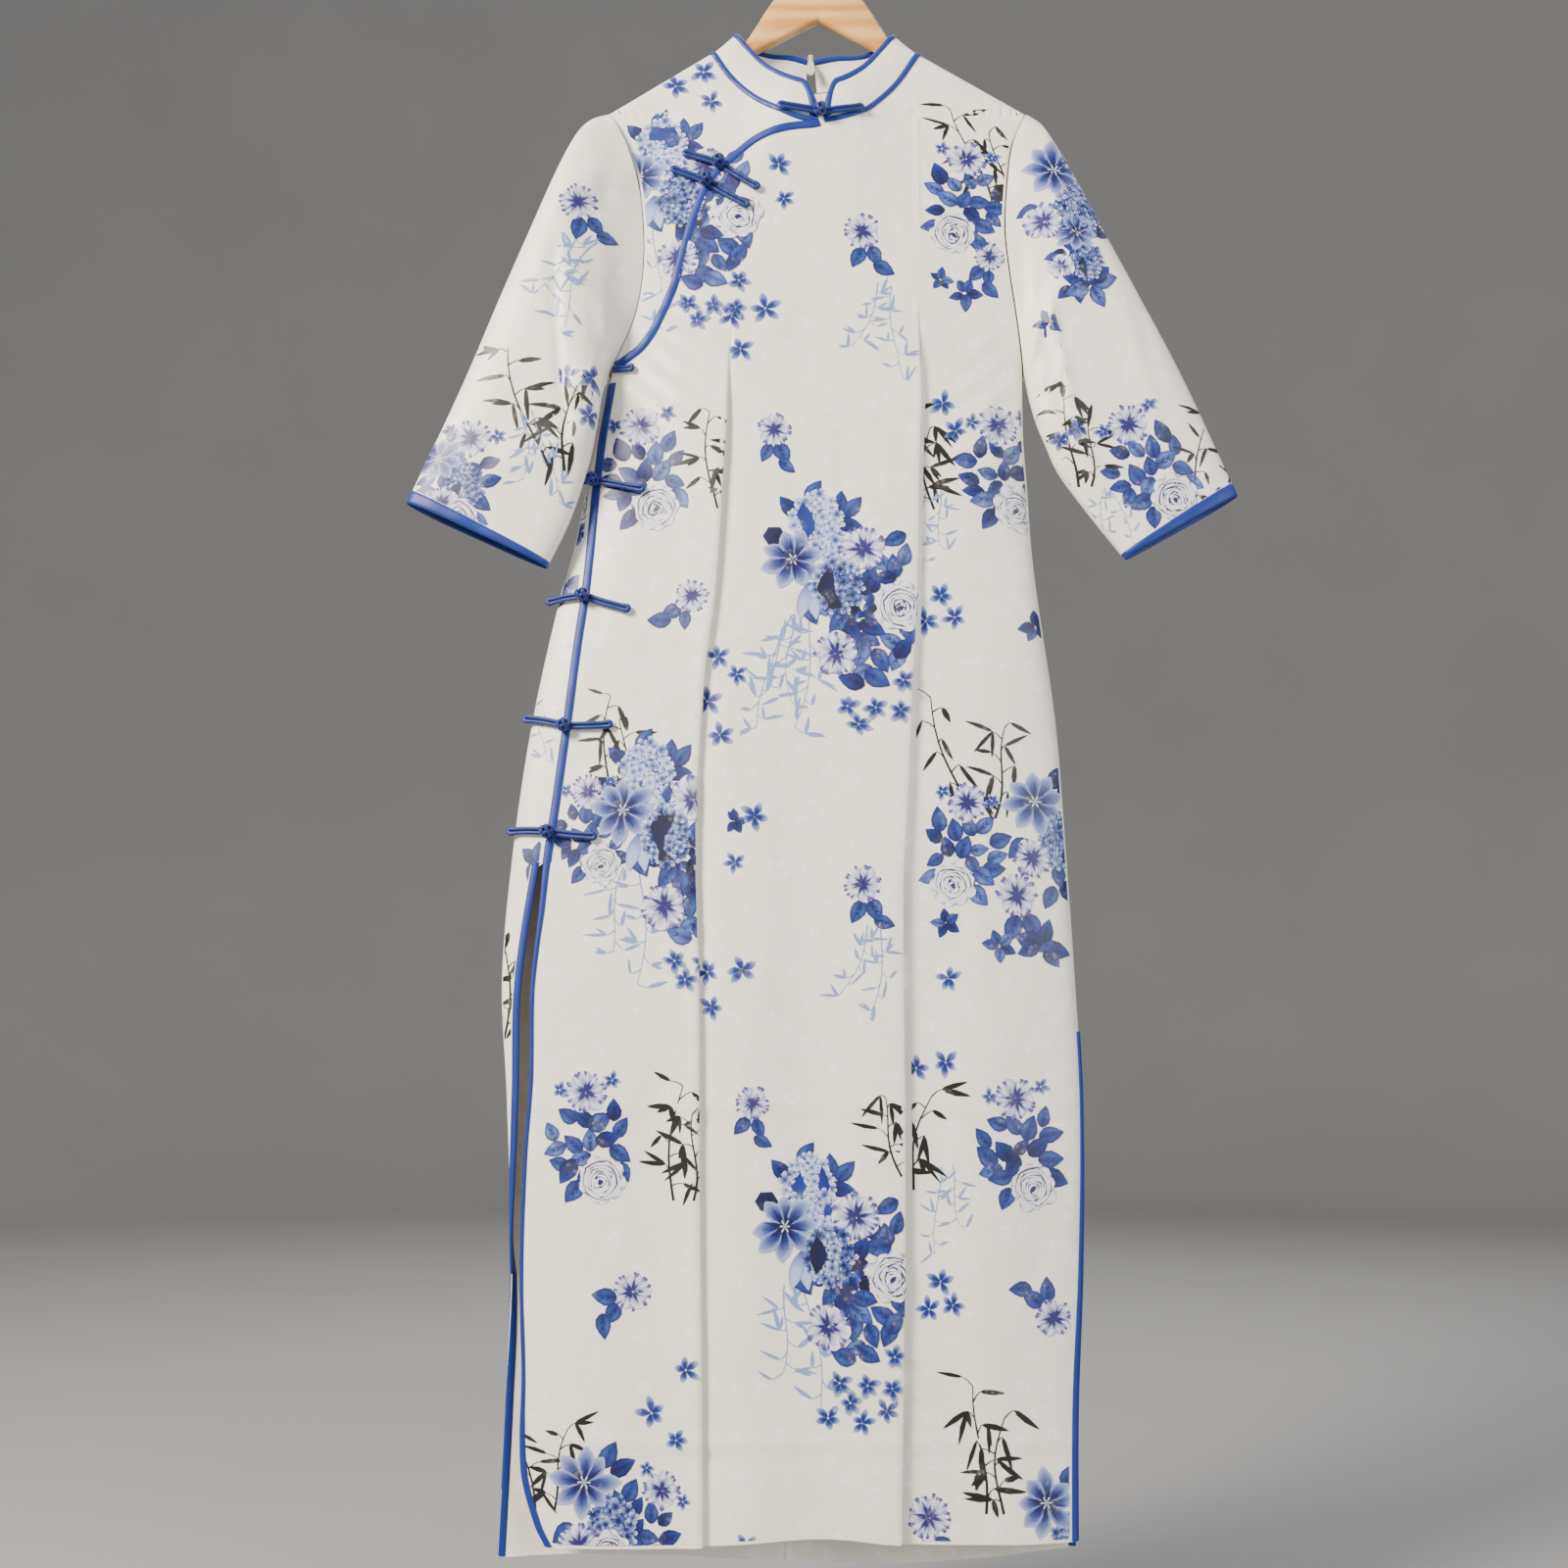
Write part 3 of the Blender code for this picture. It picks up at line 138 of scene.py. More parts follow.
# Left edge of the front's side piping, the edge of the slit below SLIT_LEFT_DROP
FRONT_LINE = Table("drop x", [
    (0.337, -0.2026), (0.370, -0.2072), (0.400, -0.2115), (0.458, -0.2171), (0.555, -0.2246),
    (0.613, -0.2317), (0.683, -0.2393), (0.762, -0.2486), (0.816, -0.2556),
    (0.861, -0.2588), (0.894, -0.2622), (0.935, -0.2652), (1.012, -0.2645),
    (1.082, -0.2685), (1.184, -0.2700), (1.268, -0.2663), (1.350, -0.2652),
    (1.395, -0.2520), (1.415, -0.2410),
])

# Share of the slit binding's width that shows: most of it turns under below the last frog
SLIT_SHOWN = Table("drop share", [
    (0.816, 1.00), (0.870, 0.74), (0.950, 0.56), (1.280, 0.54), (1.350, 0.86), (1.420, 0.95),
])

# How far round to the front the back's left edge lies, as a turn from the side in radians
BACK_WRAP = Table("drop turn", [
    (0.816, 0.470), (0.861, 0.440), (0.950, 0.370), (1.030, 0.300),
    (1.082, 0.240), (1.133, 0.140), (1.165, 0.040), (1.185, -0.006), (1.435, -0.006),
])

HEM_FRONT = Table("x drop", [
    (-0.245, 1.4142), (-0.115, 1.4122), (0.000, 1.4055), (0.085, 1.4104), (0.223, 1.4110),
])
HEM_BACK = Table("x drop", [
    (-0.287, 1.4285), (-0.190, 1.4270), (0.020, 1.4350), (0.120, 1.4325), (0.223, 1.4185),
])
HEM_AT_SLIT = {"front_right": 1.4132, "front_left": 1.4105, "back_left": 1.4180,
               "back_right": 1.4275}

# Knife folds pressed into the front: each panel's right edge lies over the next panel
FOLD_STEP = 0.0080
FOLD_WIDTH = 0.0045
FOLD_REACH = 0.075
FOLD_GROWTH = 0.13
FOLD_LIP = 0.42
FOLDS = [
    (0.290, Table("drop x", [(0.06, -0.0850), (0.295, -0.0862), (0.463, -0.0946),
                             (0.559, -0.1004), (0.653, -0.1107), (0.791, -0.1167),
                             (0.924, -0.1130), (1.098, -0.1110), (1.266, -0.1081),
                             (1.411, -0.1063)])),
    (0.250, Table("drop x", [(0.06, 0.0960), (0.364, 0.0952), (0.443, 0.0922),
                             (0.559, 0.0888), (0.653, 0.0830), (0.745, 0.0783),
                             (0.836, 0.0728), (1.098, 0.0720), (1.266, 0.0688),
                             (1.411, 0.0657)])),
]

# Sleeves from the armhole (s = 0) to the cuff (s = 1): outer and inner edge, half depth, and
# how far the sleeve falls forwards
SLEEVES = {
    "right": Table("s out_x out_drop in_x in_drop depth forward", [
        (0.00, -0.2090, 0.0655, -0.2035, 0.3375, 0.0190, 0.000),
        (0.08, -0.2255, 0.0770, -0.2072, 0.3490, 0.0200, 0.010),
        (0.16, -0.2380, 0.0970, -0.2088, 0.3620, 0.0205, 0.020),
        (0.30, -0.2560, 0.1403, -0.2105, 0.3850, 0.0200, 0.029),
        (0.45, -0.2795, 0.2010, -0.2138, 0.4110, 0.0195, 0.031),
        (0.60, -0.3050, 0.2651, -0.2195, 0.4390, 0.0190, 0.030),
        (0.80, -0.3445, 0.3660, -0.2360, 0.4910, 0.0175, 0.027),
        (1.00, -0.3912, 0.4750, -0.2574, 0.5382, 0.0150, 0.026),
    ]),
    "left": Table("s out_x out_drop in_x in_drop depth forward", [
        (0.00, 0.2070, 0.0655, 0.1985, 0.3375, 0.0190, 0.000),
        (0.08, 0.2218, 0.0785, 0.2012, 0.3500, 0.0200, 0.003),
        (0.16, 0.2330, 0.0995, 0.2035, 0.3650, 0.0205, 0.007),
        (0.30, 0.2510, 0.1375, 0.2085, 0.3900, 0.0200, 0.012),
        (0.45, 0.2790, 0.1976, 0.2165, 0.4130, 0.0195, 0.014),
        (0.60, 0.3090, 0.2595, 0.2280, 0.4410, 0.0190, 0.014),
        (0.80, 0.3510, 0.3490, 0.2560, 0.4820, 0.0170, 0.014),
        (1.00, 0.3980, 0.4640, 0.2893, 0.5265, 0.0140, 0.014),
    ]),
}
SLEEVE_SIDE = {"right": "left", "left": "right"}

# Top edge of the collar from the front centre (q = 0) over the side (q = 0.5) to the back
COLLAR_FRONT_X = {"right": 0.0000, "left": 0.0040}
COLLAR_BACK_X = -0.0075
COLLAR_TOP = {
    "right": Table("q x y drop", [
        (0.00, -0.0005, -0.0190, 0.0375), (0.12, -0.0190, -0.0180, 0.0335),
        (0.22, -0.0365, -0.0155, 0.0258), (0.32, -0.0520, -0.0125, 0.0150),
        (0.41, -0.0690, -0.0112, -0.0030), (0.45, -0.0765, -0.0106, -0.0130),
        (0.50, -0.0818, 0.0000, -0.0245), (0.55, -0.0770, 0.0098, -0.0200),
        (0.66, -0.0600, 0.0112, -0.0125), (0.75, -0.0450, 0.0122, -0.0085),
        (0.88, -0.0250, 0.0130, -0.0080),
        (1.00, -0.0075, 0.0130, -0.0035),
    ]),
    "left": Table("q x y drop", [
        (0.00, 0.0045, -0.0190, 0.0375), (0.12, 0.0190, -0.0180, 0.0330),
        (0.22, 0.0340, -0.0155, 0.0245), (0.32, 0.0470, -0.0125, 0.0135),
        (0.41, 0.0620, -0.0115, -0.0040), (0.45, 0.0692, -0.0110, -0.0130),
        (0.50, 0.0742, 0.0000, -0.0232), (0.55, 0.0698, 0.0098, -0.0190),
        (0.66, 0.0530, 0.0112, -0.0115), (0.75, 0.0400, 0.0122, -0.0070),
        (0.88, 0.0160, 0.0130, -0.0075),
        (1.00, -0.0075, 0.0130, -0.0035),
    ]),
}
COLLAR_HEIGHT = 0.041
COLLAR_LENGTH = 0.245
COLLAR_END_RADIUS = 0.027
COLLAR_ROLL = 0.0016

# Frogs: middle and both ends on the front
FROGS = Table("number x drop left_x left_drop right_x right_drop", [
    (1, 0.0010, 0.0765, -0.0400, 0.0690, 0.0433, 0.0700),
    (2, -0.0972, 0.1285, -0.1337, 0.1151, -0.0582, 0.1569),
    (3, -0.1101, 0.1475, -0.1450, 0.1328, -0.0682, 0.1755),
    (4, -0.1960, 0.3365, -0.1975, 0.3368, -0.1771, 0.3361),
    (5, -0.2138, 0.4496, -0.2360, 0.4470, -0.1655, 0.4612),
    (6, -0.2219, 0.5643, -0.2586, 0.5670, -0.1776, 0.5796),
    (7, -0.2376, 0.6890, -0.2774, 0.6792, -0.1923, 0.6888),
    (8, -0.2509, 0.7882, -0.2896, 0.7863, -0.2050, 0.7936),
])
HIDDEN_FROG = 4
CORD_RADIUS = 0.0019
CORD_BED = 0.0017
BALL_RADIUS = 0.0048
BALL_CORD = 0.0016
BALL_NECK = 0.0030
LOOP_RADIUS = 0.0050
LOOP_CORD = 0.0015

# Hanger and hook
HANGER_HALF_WIDTH = 0.186
HANGER_THICKNESS = 0.012
HANGER_PEAK_Z = -0.088
HANGER_CLEARANCE = 0.00196
HANGER_UPPER = Table("x z", [(0.000, -0.0880), (0.014, -0.0900), (0.044, -0.1230),
                             (0.067, -0.1608), (0.073, -0.1700), (0.090, -0.1845),
                             (0.105, -0.1930)])
HANGER_UNDER_CLOTH = 0.115
HANGER_LOWER = Table("x z", [(0.000, -0.1480), (0.057, -0.1795), (0.120, -0.2130),
                             (0.190, -0.2525)])
WIRE_RADIUS = 0.002
HOOK_RADIUS = 0.018

# Zip at the top of the back seam
ZIP_X = COLLAR_BACK_X
ZIP_GAP = 0.0048

# Camera: low and tilted up, and the picture it takes
CAMERA_DISTANCE = 1.633
CAMERA_TILT = math.radians(9)
CAMERA_AT = (-0.0343, -CAMERA_DISTANCE * math.cos(CAMERA_TILT),
             -0.924 - CAMERA_DISTANCE * math.sin(CAMERA_TILT))
LENS = 39.98
SENSOR = 36
PICTURE = 1600
PIXEL = SENSOR / LENS / PICTURE


# Surfaces

def smooth(t):
    t = min(max(t, 0.0), 1.0)
    return t * t * (3 - 2 * t)


def blend(a, b, t):
    return a + (b - a) * t


def place(x, y, drop):
    return Vector((x, y, NECK_Z - drop))


def sides(drop):
    """x of the body's left and right edge: armhole seam, then side."""
    table = ARMHOLE if drop < ARMPIT_DROP else OUTLINE
    return table.at(drop, "left"), table.at(drop, "right")


def ridge_drop(x):
    """Drop of the shoulder ridge over x, carried on over the neck."""
    left = -0.0025 - (x + 0.1042) * 0.6450
    right = -0.0011 + (x - 0.0980) * 0.6150
    return max(left, right)


def oval(t, blunt=0.0):
    """Half depth of an oval from 0 to 1 along its length, blunter at the start."""
    power = ROUNDNESS + (4.0 * blunt if t < 0.5 else 0.0)
    return max(0.0, 1 - abs(2 * t - 1)**power)**(1 / ROUNDNESS)


def armhole_depth(t):
    """Half depth of the armhole oval, t from the shoulder tip (0) to the armpit (1)."""
    return ARMHOLE_DEPTH * oval(t, 1.0)


def edge_depth(drop, x, face):
    """Depth that is left at the body's edge: armhole above, open slits below."""
    if drop < ARMPIT_DROP:
        return armhole_depth((drop - TIP_DROP) / (ARMPIT_DROP - TIP_DROP))
    if x > 0:
        return 0.006 * smooth((drop - SLIT_RIGHT_DROP) / 0.35)
    return 0.010 * smooth((drop - 1.15) / 0.20) if face == BACK else 0.0


def fold_grown(start, drop):
    return smooth((drop - start) / FOLD_GROWTH)


def fold_lift(x, drop):
    """Knife folds of the front: a slow rise to a lip, then down to the next panel."""
    lift = 0.0
    for start, line in FOLDS:
        step = FOLD_STEP * fold_grown(start, drop)
        u = (x - line.at(drop, "x")) / FOLD_WIDTH
        if -0.5 < u < FOLD_LIP:
            lift += step * (0.5 - 0.16 * ((u + 0.5) / (FOLD_LIP + 0.5))**2)
        elif FOLD_LIP <= u < 0.5:
            lift += step * blend(0.34, -0.5, (u - FOLD_LIP) / (0.5 - FOLD_LIP))
        else:
            far = max(0.0, 1 - (abs(u) - 0.5) * FOLD_WIDTH / FOLD_REACH)
            lift -= math.copysign(step / 2 * far**1.6, u)
    return lift


PRESSED_CREASES = Table("drop height sway", [(0.611, 0.0005, 3.0), (1.037, 0.0010, 5.0),
                                             (1.327, 0.0012, 9.0)])


def noise_at(x, y, z=0.0):
    return noise.noise(Vector((x, y, z)))


def rumple(x, drop, face):
    """How far soft drapes and pressed creases move the cloth out."""
    left, right = sides(max(drop, TIP_DROP))
    across = min(1.0, abs(2 * x - left - right) / (right - left))
    out = 0.0024 * noise_at(x * 8, drop * 3.0, face * 4)
    out += 0.0011 * noise_at(x * 26, drop * 8, face * 9)
    out += 0.0005 * noise_at(x * 60, drop * 26, face * 5)
    sway = 2.5 * noise_at(1.7, drop * 2.2, face)
    out += 0.0016 * smooth((drop - 0.45) / 0.5) * math.sin(x * 52 + 1.4 * face + sway)
    for at, height, turn in PRESSED_CREASES.rows:
        line = at + 0.006 * noise_at(x * 6, turn, face)
        u = (drop - line) / 0.007
        if abs(u) < 3:
            out += height * (math.exp(-u * u) - 0.5 * math.exp(-(u - 1.4)**2)) \
                * (0.7 + 0.6 * noise_at(x * 14, turn * 2, face))
    near_arm = max(0.0, 1 - abs(drop - 0.36) / 0.16) * smooth((across - 0.45) / 0.4)
    out += 0.0017 * near_arm * math.sin((abs(x) * 0.8 + drop) * 210 + 3 * face)
    return out * (1 - across**6) * smooth((drop - ridge_drop(x)) / 0.06)


def depth(x, drop, face):
    """Distance of the hanging cloth from y = 0."""
    return plain_depth(x, drop, face) + rumple(x, drop, face)


def plain_depth(x, drop, face):
    """Distance of the front or back from y = 0, without creases."""
    column = "front" if face == FRONT else "back"
    full = OUTLINE.at(drop, column)
    below = max(0.0, drop - ridge_drop(x))
    reach = 0.10 + 0.12 * smooth(abs(x) / 0.10)
    ridge = RIDGE_RADIUS * math.sqrt(1 - (1 - min(below / RIDGE_RADIUS, 1))**2)
    middle = ridge + (full - RIDGE_RADIUS) * smooth(below / reach)
    if middle <= 0 or drop < TIP_DROP:
        return middle
    left, right = sides(drop)
    across = min(1.0, abs(2 * x - left - right) / (right - left))
    edge = min(1.0, edge_depth(drop, x, face) / middle)
    shape = edge**ROUNDNESS + (1 - edge**ROUNDNESS) * (1 - across**ROUNDNESS)
    folds = fold_lift(x, drop) * (1 - across**6) if face == FRONT else 0.0
    return middle * shape**(1 / ROUNDNESS) + folds


def body(x, drop, face=FRONT, lift=0.0):
    """Point on the body, moved out from the cloth by lift."""
    point = place(x, face * depth(x, drop, face), drop)
    if lift:
        e = 0.0004
        left, right = sides(max(drop, TIP_DROP))
        xa, xb = max(x - e, left), min(x + e, right)
        along = place(xb, face * depth(xb, drop, face), drop) \
            - place(xa, face * depth(xa, drop, face), drop)
        down = place(x, face * depth(x, drop + e, face), drop + e) - point
        point += lift * face * along.cross(down).normalized()
    return point


def turn_at(x, drop):
    """Turn round the body in radians: 0 at the right side, pi at the left."""
    left, right = sides(max(drop, TIP_DROP))
    return math.acos(min(1.0, max(-1.0, (2 * x - left - right) / (right - left))))


def ring(turn, drop):
    """Point of the body at a turn: front for 0 to pi, back beyond it."""
    left, right = sides(max(drop, TIP_DROP))
    x = (left + right) / 2 + (right - left) / 2 * math.cos(turn)
    face = FRONT if math.sin(turn) >= 0 else BACK
    return place(x, face * depth(x, drop, face), drop)


def ring_out(turn, drop, lift):
    """Point at a turn moved out from the cloth by lift."""
    e = 0.004
    along = ring(turn + e, drop) - ring(turn - e, drop)
    down = ring(turn, drop + 0.002) - ring(turn, drop - 0.002)
    return ring(turn, drop) + lift * along.cross(down).normalized()


def away_from_neck(x, drop, distance):
    """Place moved outwards from the neck, on the flat of the front."""
    dx, dd = x - NECK_HUB[0], drop - NECK_HUB[1]
    scale = 1 + distance / math.hypot(dx, dd)
    return NECK_HUB[0] + dx * scale, NECK_HUB[1] + dd * scale


def sampled(table, count, start=0.0, end=1.0):
    """Evenly spaced places on a curve kept as a table of drops over x."""
    x0, x1 = table.rows[0][0], table.rows[-1][0]
    xs = [blend(x0, x1, blend(start, end, i / (count - 1))) for i in range(count)]
    return [(x, table.at(x, "drop")) for x in xs]


def moved_aside(line, distance):
    """The line moved to its right-hand side by a distance."""
    result = []
    for i, (x, drop) in enumerate(line):
        (xa, da), (xb, db) = line[max(i - 1, 0)], line[min(i + 1, len(line) - 1)]
        length = math.hypot(xb - xa, db - da)
        result.append((x - distance * (db - da) / length, drop + distance * (xb - xa) / length))
    return result


def drop_on(line, x):
    """Drop of a line of places in rising x."""
    if x <= line[0][0]:
        return line[0][1]
    for (xa, da), (xb, db) in zip(line, line[1:]):
        if x <= xb:
            return blend(da, db, (x - xa) / (xb - xa))
    return line[-1][1]


# Materials

def linear(hex_colour):
    """An sRGB hex colour as linear red, green, blue and alpha."""
    parts = [int(hex_colour[i:i + 2], 16) / 255 for i in (0, 2, 4)]
    return (*(c / 12.92 if c <= 0.04045 else ((c + 0.055) / 1.055)**2.4 for c in parts), 1.0)


def new_material(name, **settings):
    """A material with its node tree, its shader and the place on the object."""
    mat = bpy.data.materials.new(name)
    mat.use_nodes = True
    shader = mat.node_tree.nodes["Principled BSDF"]
    for socket, value in settings.items():
        shader.inputs[socket.replace("_", " ")].default_value = value
    tree = mat.node_tree
    return mat, tree, shader, node(tree, "TexCoord").outputs["Object"]


def node(tree, kind, inputs=None, **settings):
    """Adds a node; inputs maps a socket to a value or to another node's output."""
    made = tree.nodes.new("ShaderNode" + kind)
    for key, value in settings.items():
        setattr(made, key, value)
    for socket, value in (inputs or {}).items():
        if isinstance(value, bpy.types.NodeSocket):
            tree.links.new(value, made.inputs[socket])
        else:
            made.inputs[socket].default_value = value
    return made


def joined_to(tree, shader, colour, rough, height, strength, rise):
    """Gives the shader its colour and roughness, and a bump of a height that rises so far."""
    bump = node(tree, "Bump", {"Height": height, "Strength": strength, "Distance": rise})
    for socket, value in (("Base Color", colour), ("Roughness", rough), ("Normal", bump.outputs[0])):
        tree.links.new(value, shader.inputs[socket])


FULL_TURN = 6.28
THREAD = 0.0005
DISC_SPACING = 0.021


def weave_height(tree, place_from):
    """Warp and weft threads as two crossing waves, one thread wide each."""
    warp, weft = (node(tree, "TexWave", {"Vector": place_from, "Scale": 1 / THREAD / FULL_TURN,
                                         "Distortion": 0.6, "Detail": 1.0},
                       wave_type="BANDS", bands_direction=way).outputs["Fac"] for way in "XZ")
    return node(tree, "Math", {0: warp, 1: weft}, operation="MULTIPLY").outputs[0]


def damask_discs(tree, place_from):
    """Faint round figures about two centimetres apart, woven into the satin."""
    spots = node(tree, "TexVoronoi", {"Vector": place_from, "Scale": 1 / DISC_SPACING,
                                      "Randomness": 0.75})
    petals = node(tree, "TexVoronoi", {"Vector": place_from, "Scale": 4 / DISC_SPACING})
    inner = node(tree, "MapRange", {"Value": spots.outputs["Distance"], "From Min": 0.30,
                                    "From Max": 0.42, "To Min": 1.0, "To Max": 0.0})
    lines = node(tree, "MapRange", {"Value": petals.outputs["Distance"], "From Min": 0.25,
                                    "From Max": 0.45, "To Min": 1.0, "To Max": 0.2})
    return node(tree, "Math", {0: inner.outputs[0], 1: lines.outputs[0]},
                operation="MULTIPLY").outputs[0]


def printed_satin(name="printed_satin", painted=False, cloth="F6F1E6", shade="E9E5DA"):
    """White damask satin, woven: a warm-white play of colour and a soft sheen, with figures glossier
    than the ground and also painted whiter than it, a painted sheen. With painted, the colour comes
    from the print drawn on the mesh, and the figures are painted paler towards the cloth's colour,
    also a painted sheen."""
    mat, tree, shader, place_from = new_material(
        name, Sheen_Weight=0.25, Sheen_Roughness=0.35, Specular_IOR_Level=0.55,
        Subsurface_Weight=0.04, Subsurface_Scale=0.004)
    discs = damask_discs(tree, place_from)
    if painted:
        ground = node(tree, "VertexColor", layer_name="print").outputs["Color"]
        grain = node(tree, "TexNoise", {"Vector": place_from, "Scale": 700.0, "Detail": 4.0})
        speck = node(tree, "MapRange", {"Value": grain.outputs["Fac"], "From Min": 0.35,
                                        "From Max": 0.65, "To Min": 0.86, "To Max": 1.0})
        ground = node(tree, "Mix", {0: 0.8, 6: ground, 7: speck.outputs[0]}, data_type="RGBA",
                      blend_type="MULTIPLY").outputs[2]
        share, figure_sheen_colour = 0.10, linear(cloth)
    else:
        cloudy = node(tree, "TexNoise", {"Vector": place_from, "Scale": 9.0, "Detail": 4.0})
        ground = node(tree, "Mix", {0: cloudy.outputs["Fac"], 6: linear(cloth), 7: linear(shade)},
                      data_type="RGBA").outputs[2]
        share, figure_sheen_colour = 0.85, linear("FFFFFF")
    # Painted sheen: the damask figures' colour is mixed towards white, or towards the cloth's colour
    # over the print
    bright = node(tree, "Math", {0: discs, 1: share}, operation="MULTIPLY").outputs[0]
    colour = node(tree, "Mix", {0: bright, 6: ground, 7: figure_sheen_colour}, data_type="RGBA").outputs[2]
    rough = node(tree, "MapRange", {"Value": discs, "To Min": 0.44, "To Max": 0.34})
    slub = node(tree, "TexNoise", {"Vector": place_from, "Scale": 340.0, "Detail": 3.0})
    rise = node(tree, "Math", {0: discs, 1: 1.8, 2: slub.outputs["Fac"]},
                operation="MULTIPLY_ADD").outputs[0]
    height = node(tree, "Math", {0: weave_height(tree, place_from), 1: 0.5, 2: rise},
                  operation="MULTIPLY_ADD").outputs[0]
    joined_to(tree, shader, colour, rough.outputs[0], height, 0.22, 0.0003)
    return mat


def blue_satin(name="blue_satin", deep="031F6A", bright="0A3494", rib=0.0011):
    """Royal-blue bias satin, woven: fine diagonal ribs and a soft change of blue over the turns."""
    mat, tree, shader, place_from = new_material(
        name, Sheen_Weight=0.15, Sheen_Roughness=0.4, Specular_IOR_Level=0.45)
    turned = node(tree, "Mapping", {"Vector": place_from,
                                    "Rotation": (0.0, math.radians(45), 0.0)}).outputs[0]
    patch = node(tree, "TexNoise", {"Vector": place_from, "Scale": 60.0, "Detail": 3.0})
    ribs = node(tree, "TexWave", {"Vector": turned, "Scale": 1 / rib / FULL_TURN, "Distortion": 1.0},
                wave_type="BANDS", bands_direction="X").outputs["Fac"]
    tone = node(tree, "Math", {0: patch.outputs["Fac"], 1: 0.7, 2: -0.05},
                operation="MULTIPLY_ADD").outputs[0]
    tone = node(tree, "Math", {0: ribs, 1: 0.25, 2: tone}, operation="MULTIPLY_ADD").outputs[0]
    colour = node(tree, "Mix", {0: tone, 6: linear(deep), 7: linear(bright)},
                  data_type="RGBA").outputs[2]
    rough = node(tree, "MapRange", {"Value": patch.outputs["Fac"], "To Min": 0.55, "To Max": 0.40})
    joined_to(tree, shader, colour, rough.outputs[0], ribs, 0.35, 0.0003)
    return mat


def pale_wood(name="pale_wood"):
    """Lacquered beech, turned and sanded: long grain along the arms, fine pores, a clear coat."""
    mat, tree, shader, place_from = new_material(name, Coat_Weight=0.35, Coat_Roughness=0.18)
    drawn_out = node(tree, "Mapping", {"Vector": place_from, "Scale": (5.0, 60.0, 46.0)}).outputs[0]
    grain = node(tree, "TexNoise", {"Vector": drawn_out, "Scale": 2.2, "Detail": 6.0,
                                    "Distortion": 0.8}).outputs["Fac"]
    rings = node(tree, "TexWave", {"Vector": drawn_out, "Scale": 0.35, "Distortion": 4.0,
                                   "Detail": 3.0}, wave_type="BANDS", bands_direction="Z")
    tone = node(tree, "Mix", {0: rings.outputs["Fac"], 6: linear("D0904A"), 7: linear("E2B272")},
                data_type="RGBA").outputs[2]
    lines = node(tree, "MapRange", {"Value": grain, "From Min": 0.40, "From Max": 0.56,
                                    "To Min": 0.55, "To Max": 1.0}).outputs[0]
    colour = node(tree, "Mix", {0: 0.35, 6: tone, 7: lines}, data_type="RGBA",
                  blend_type="MULTIPLY").outputs[2]
    rough = node(tree, "MapRange", {"Value": grain, "To Min": 0.5, "To Max": 0.36})
    joined_to(tree, shader, colour, rough.outputs[0], grain, 0.12, 0.0006)
    return mat


def plated_metal(name, bright, dull, roughness, metallic):
    """Drawn and plated wire, or painted zip metal: faint handling marks."""
    mat, tree, shader, place_from = new_material(name, Metallic=metallic)
    wear = node(tree, "TexNoise", {"Vector": place_from, "Scale": 130.0,
                                   "Detail": 5.0}).outputs["Fac"]
    colour = node(tree, "Mix", {0: wear, 6: linear(bright), 7: linear(dull)},
                  data_type="RGBA").outputs[2]
    rough = node(tree, "MapRange", {"Value": wear, "To Min": roughness - 0.08,
                                    "To Max": roughness + 0.14})
    joined_to(tree, shader, colour, rough.outputs[0], wear, 0.08, 0.0002)
    return mat


SATIN = printed_satin()
PRINT = printed_satin("print_ink", painted=True)
BINDING = blue_satin()
CORD_SATIN = blue_satin("cord_satin", "051A54", "0B2E84", 0.0009)
WOOD = pale_wood()
WIRE = plated_metal("hook_wire", "D9D9DC", "B4B5B9", 0.22, 1.0)
ZIP_METAL = plated_metal("zip_metal", "E6E3DA", "CFCABD", 0.34, 0.3)


# Meshes

def new_object(name, points, faces, mat):
    mesh = bpy.data.meshes.new(name)
    mesh.from_pydata([tuple(p) for p in points], [], faces)
    mesh.materials.append(mat)
    obj = bpy.data.objects.new(name, mesh)
    bpy.context.scene.collection.objects.link(obj)
    return obj


def add(name, points, faces, mat, sharp=50):
    """One piece of the dress that rides on it and stands for the CAD node of its name."""
    obj = new_object(name, points, faces, mat)
    bm = bmesh.new()
    bm.from_mesh(obj.data)
    bmesh.ops.recalc_face_normals(bm, faces=bm.faces)
    bm.to_mesh(obj.data)
    bm.free()
    obj.data.shade_smooth()
    obj.data.set_sharp_from_angle(angle=math.radians(sharp))
    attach(obj, "garment")
    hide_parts(name)
    return obj


def grid_normals(rows, closed):
    """Unit normal at each point of a grid from its neighbours."""
    count, width = len(rows), len(rows[0])
    result = []
    for i in range(count):
        line = []
        for j in range(width):
            if closed:
                across = rows[i][(j + 1) % width] - rows[i][j - 1]
            else:
                across = rows[i][min(j + 1, width - 1)] - rows[i][max(j - 1, 0)]
            down = rows[min(i + 1, count - 1)][j] - rows[max(i - 1, 0)][j]
            line.append(across.cross(down).normalized())
        result.append(line)
    return result


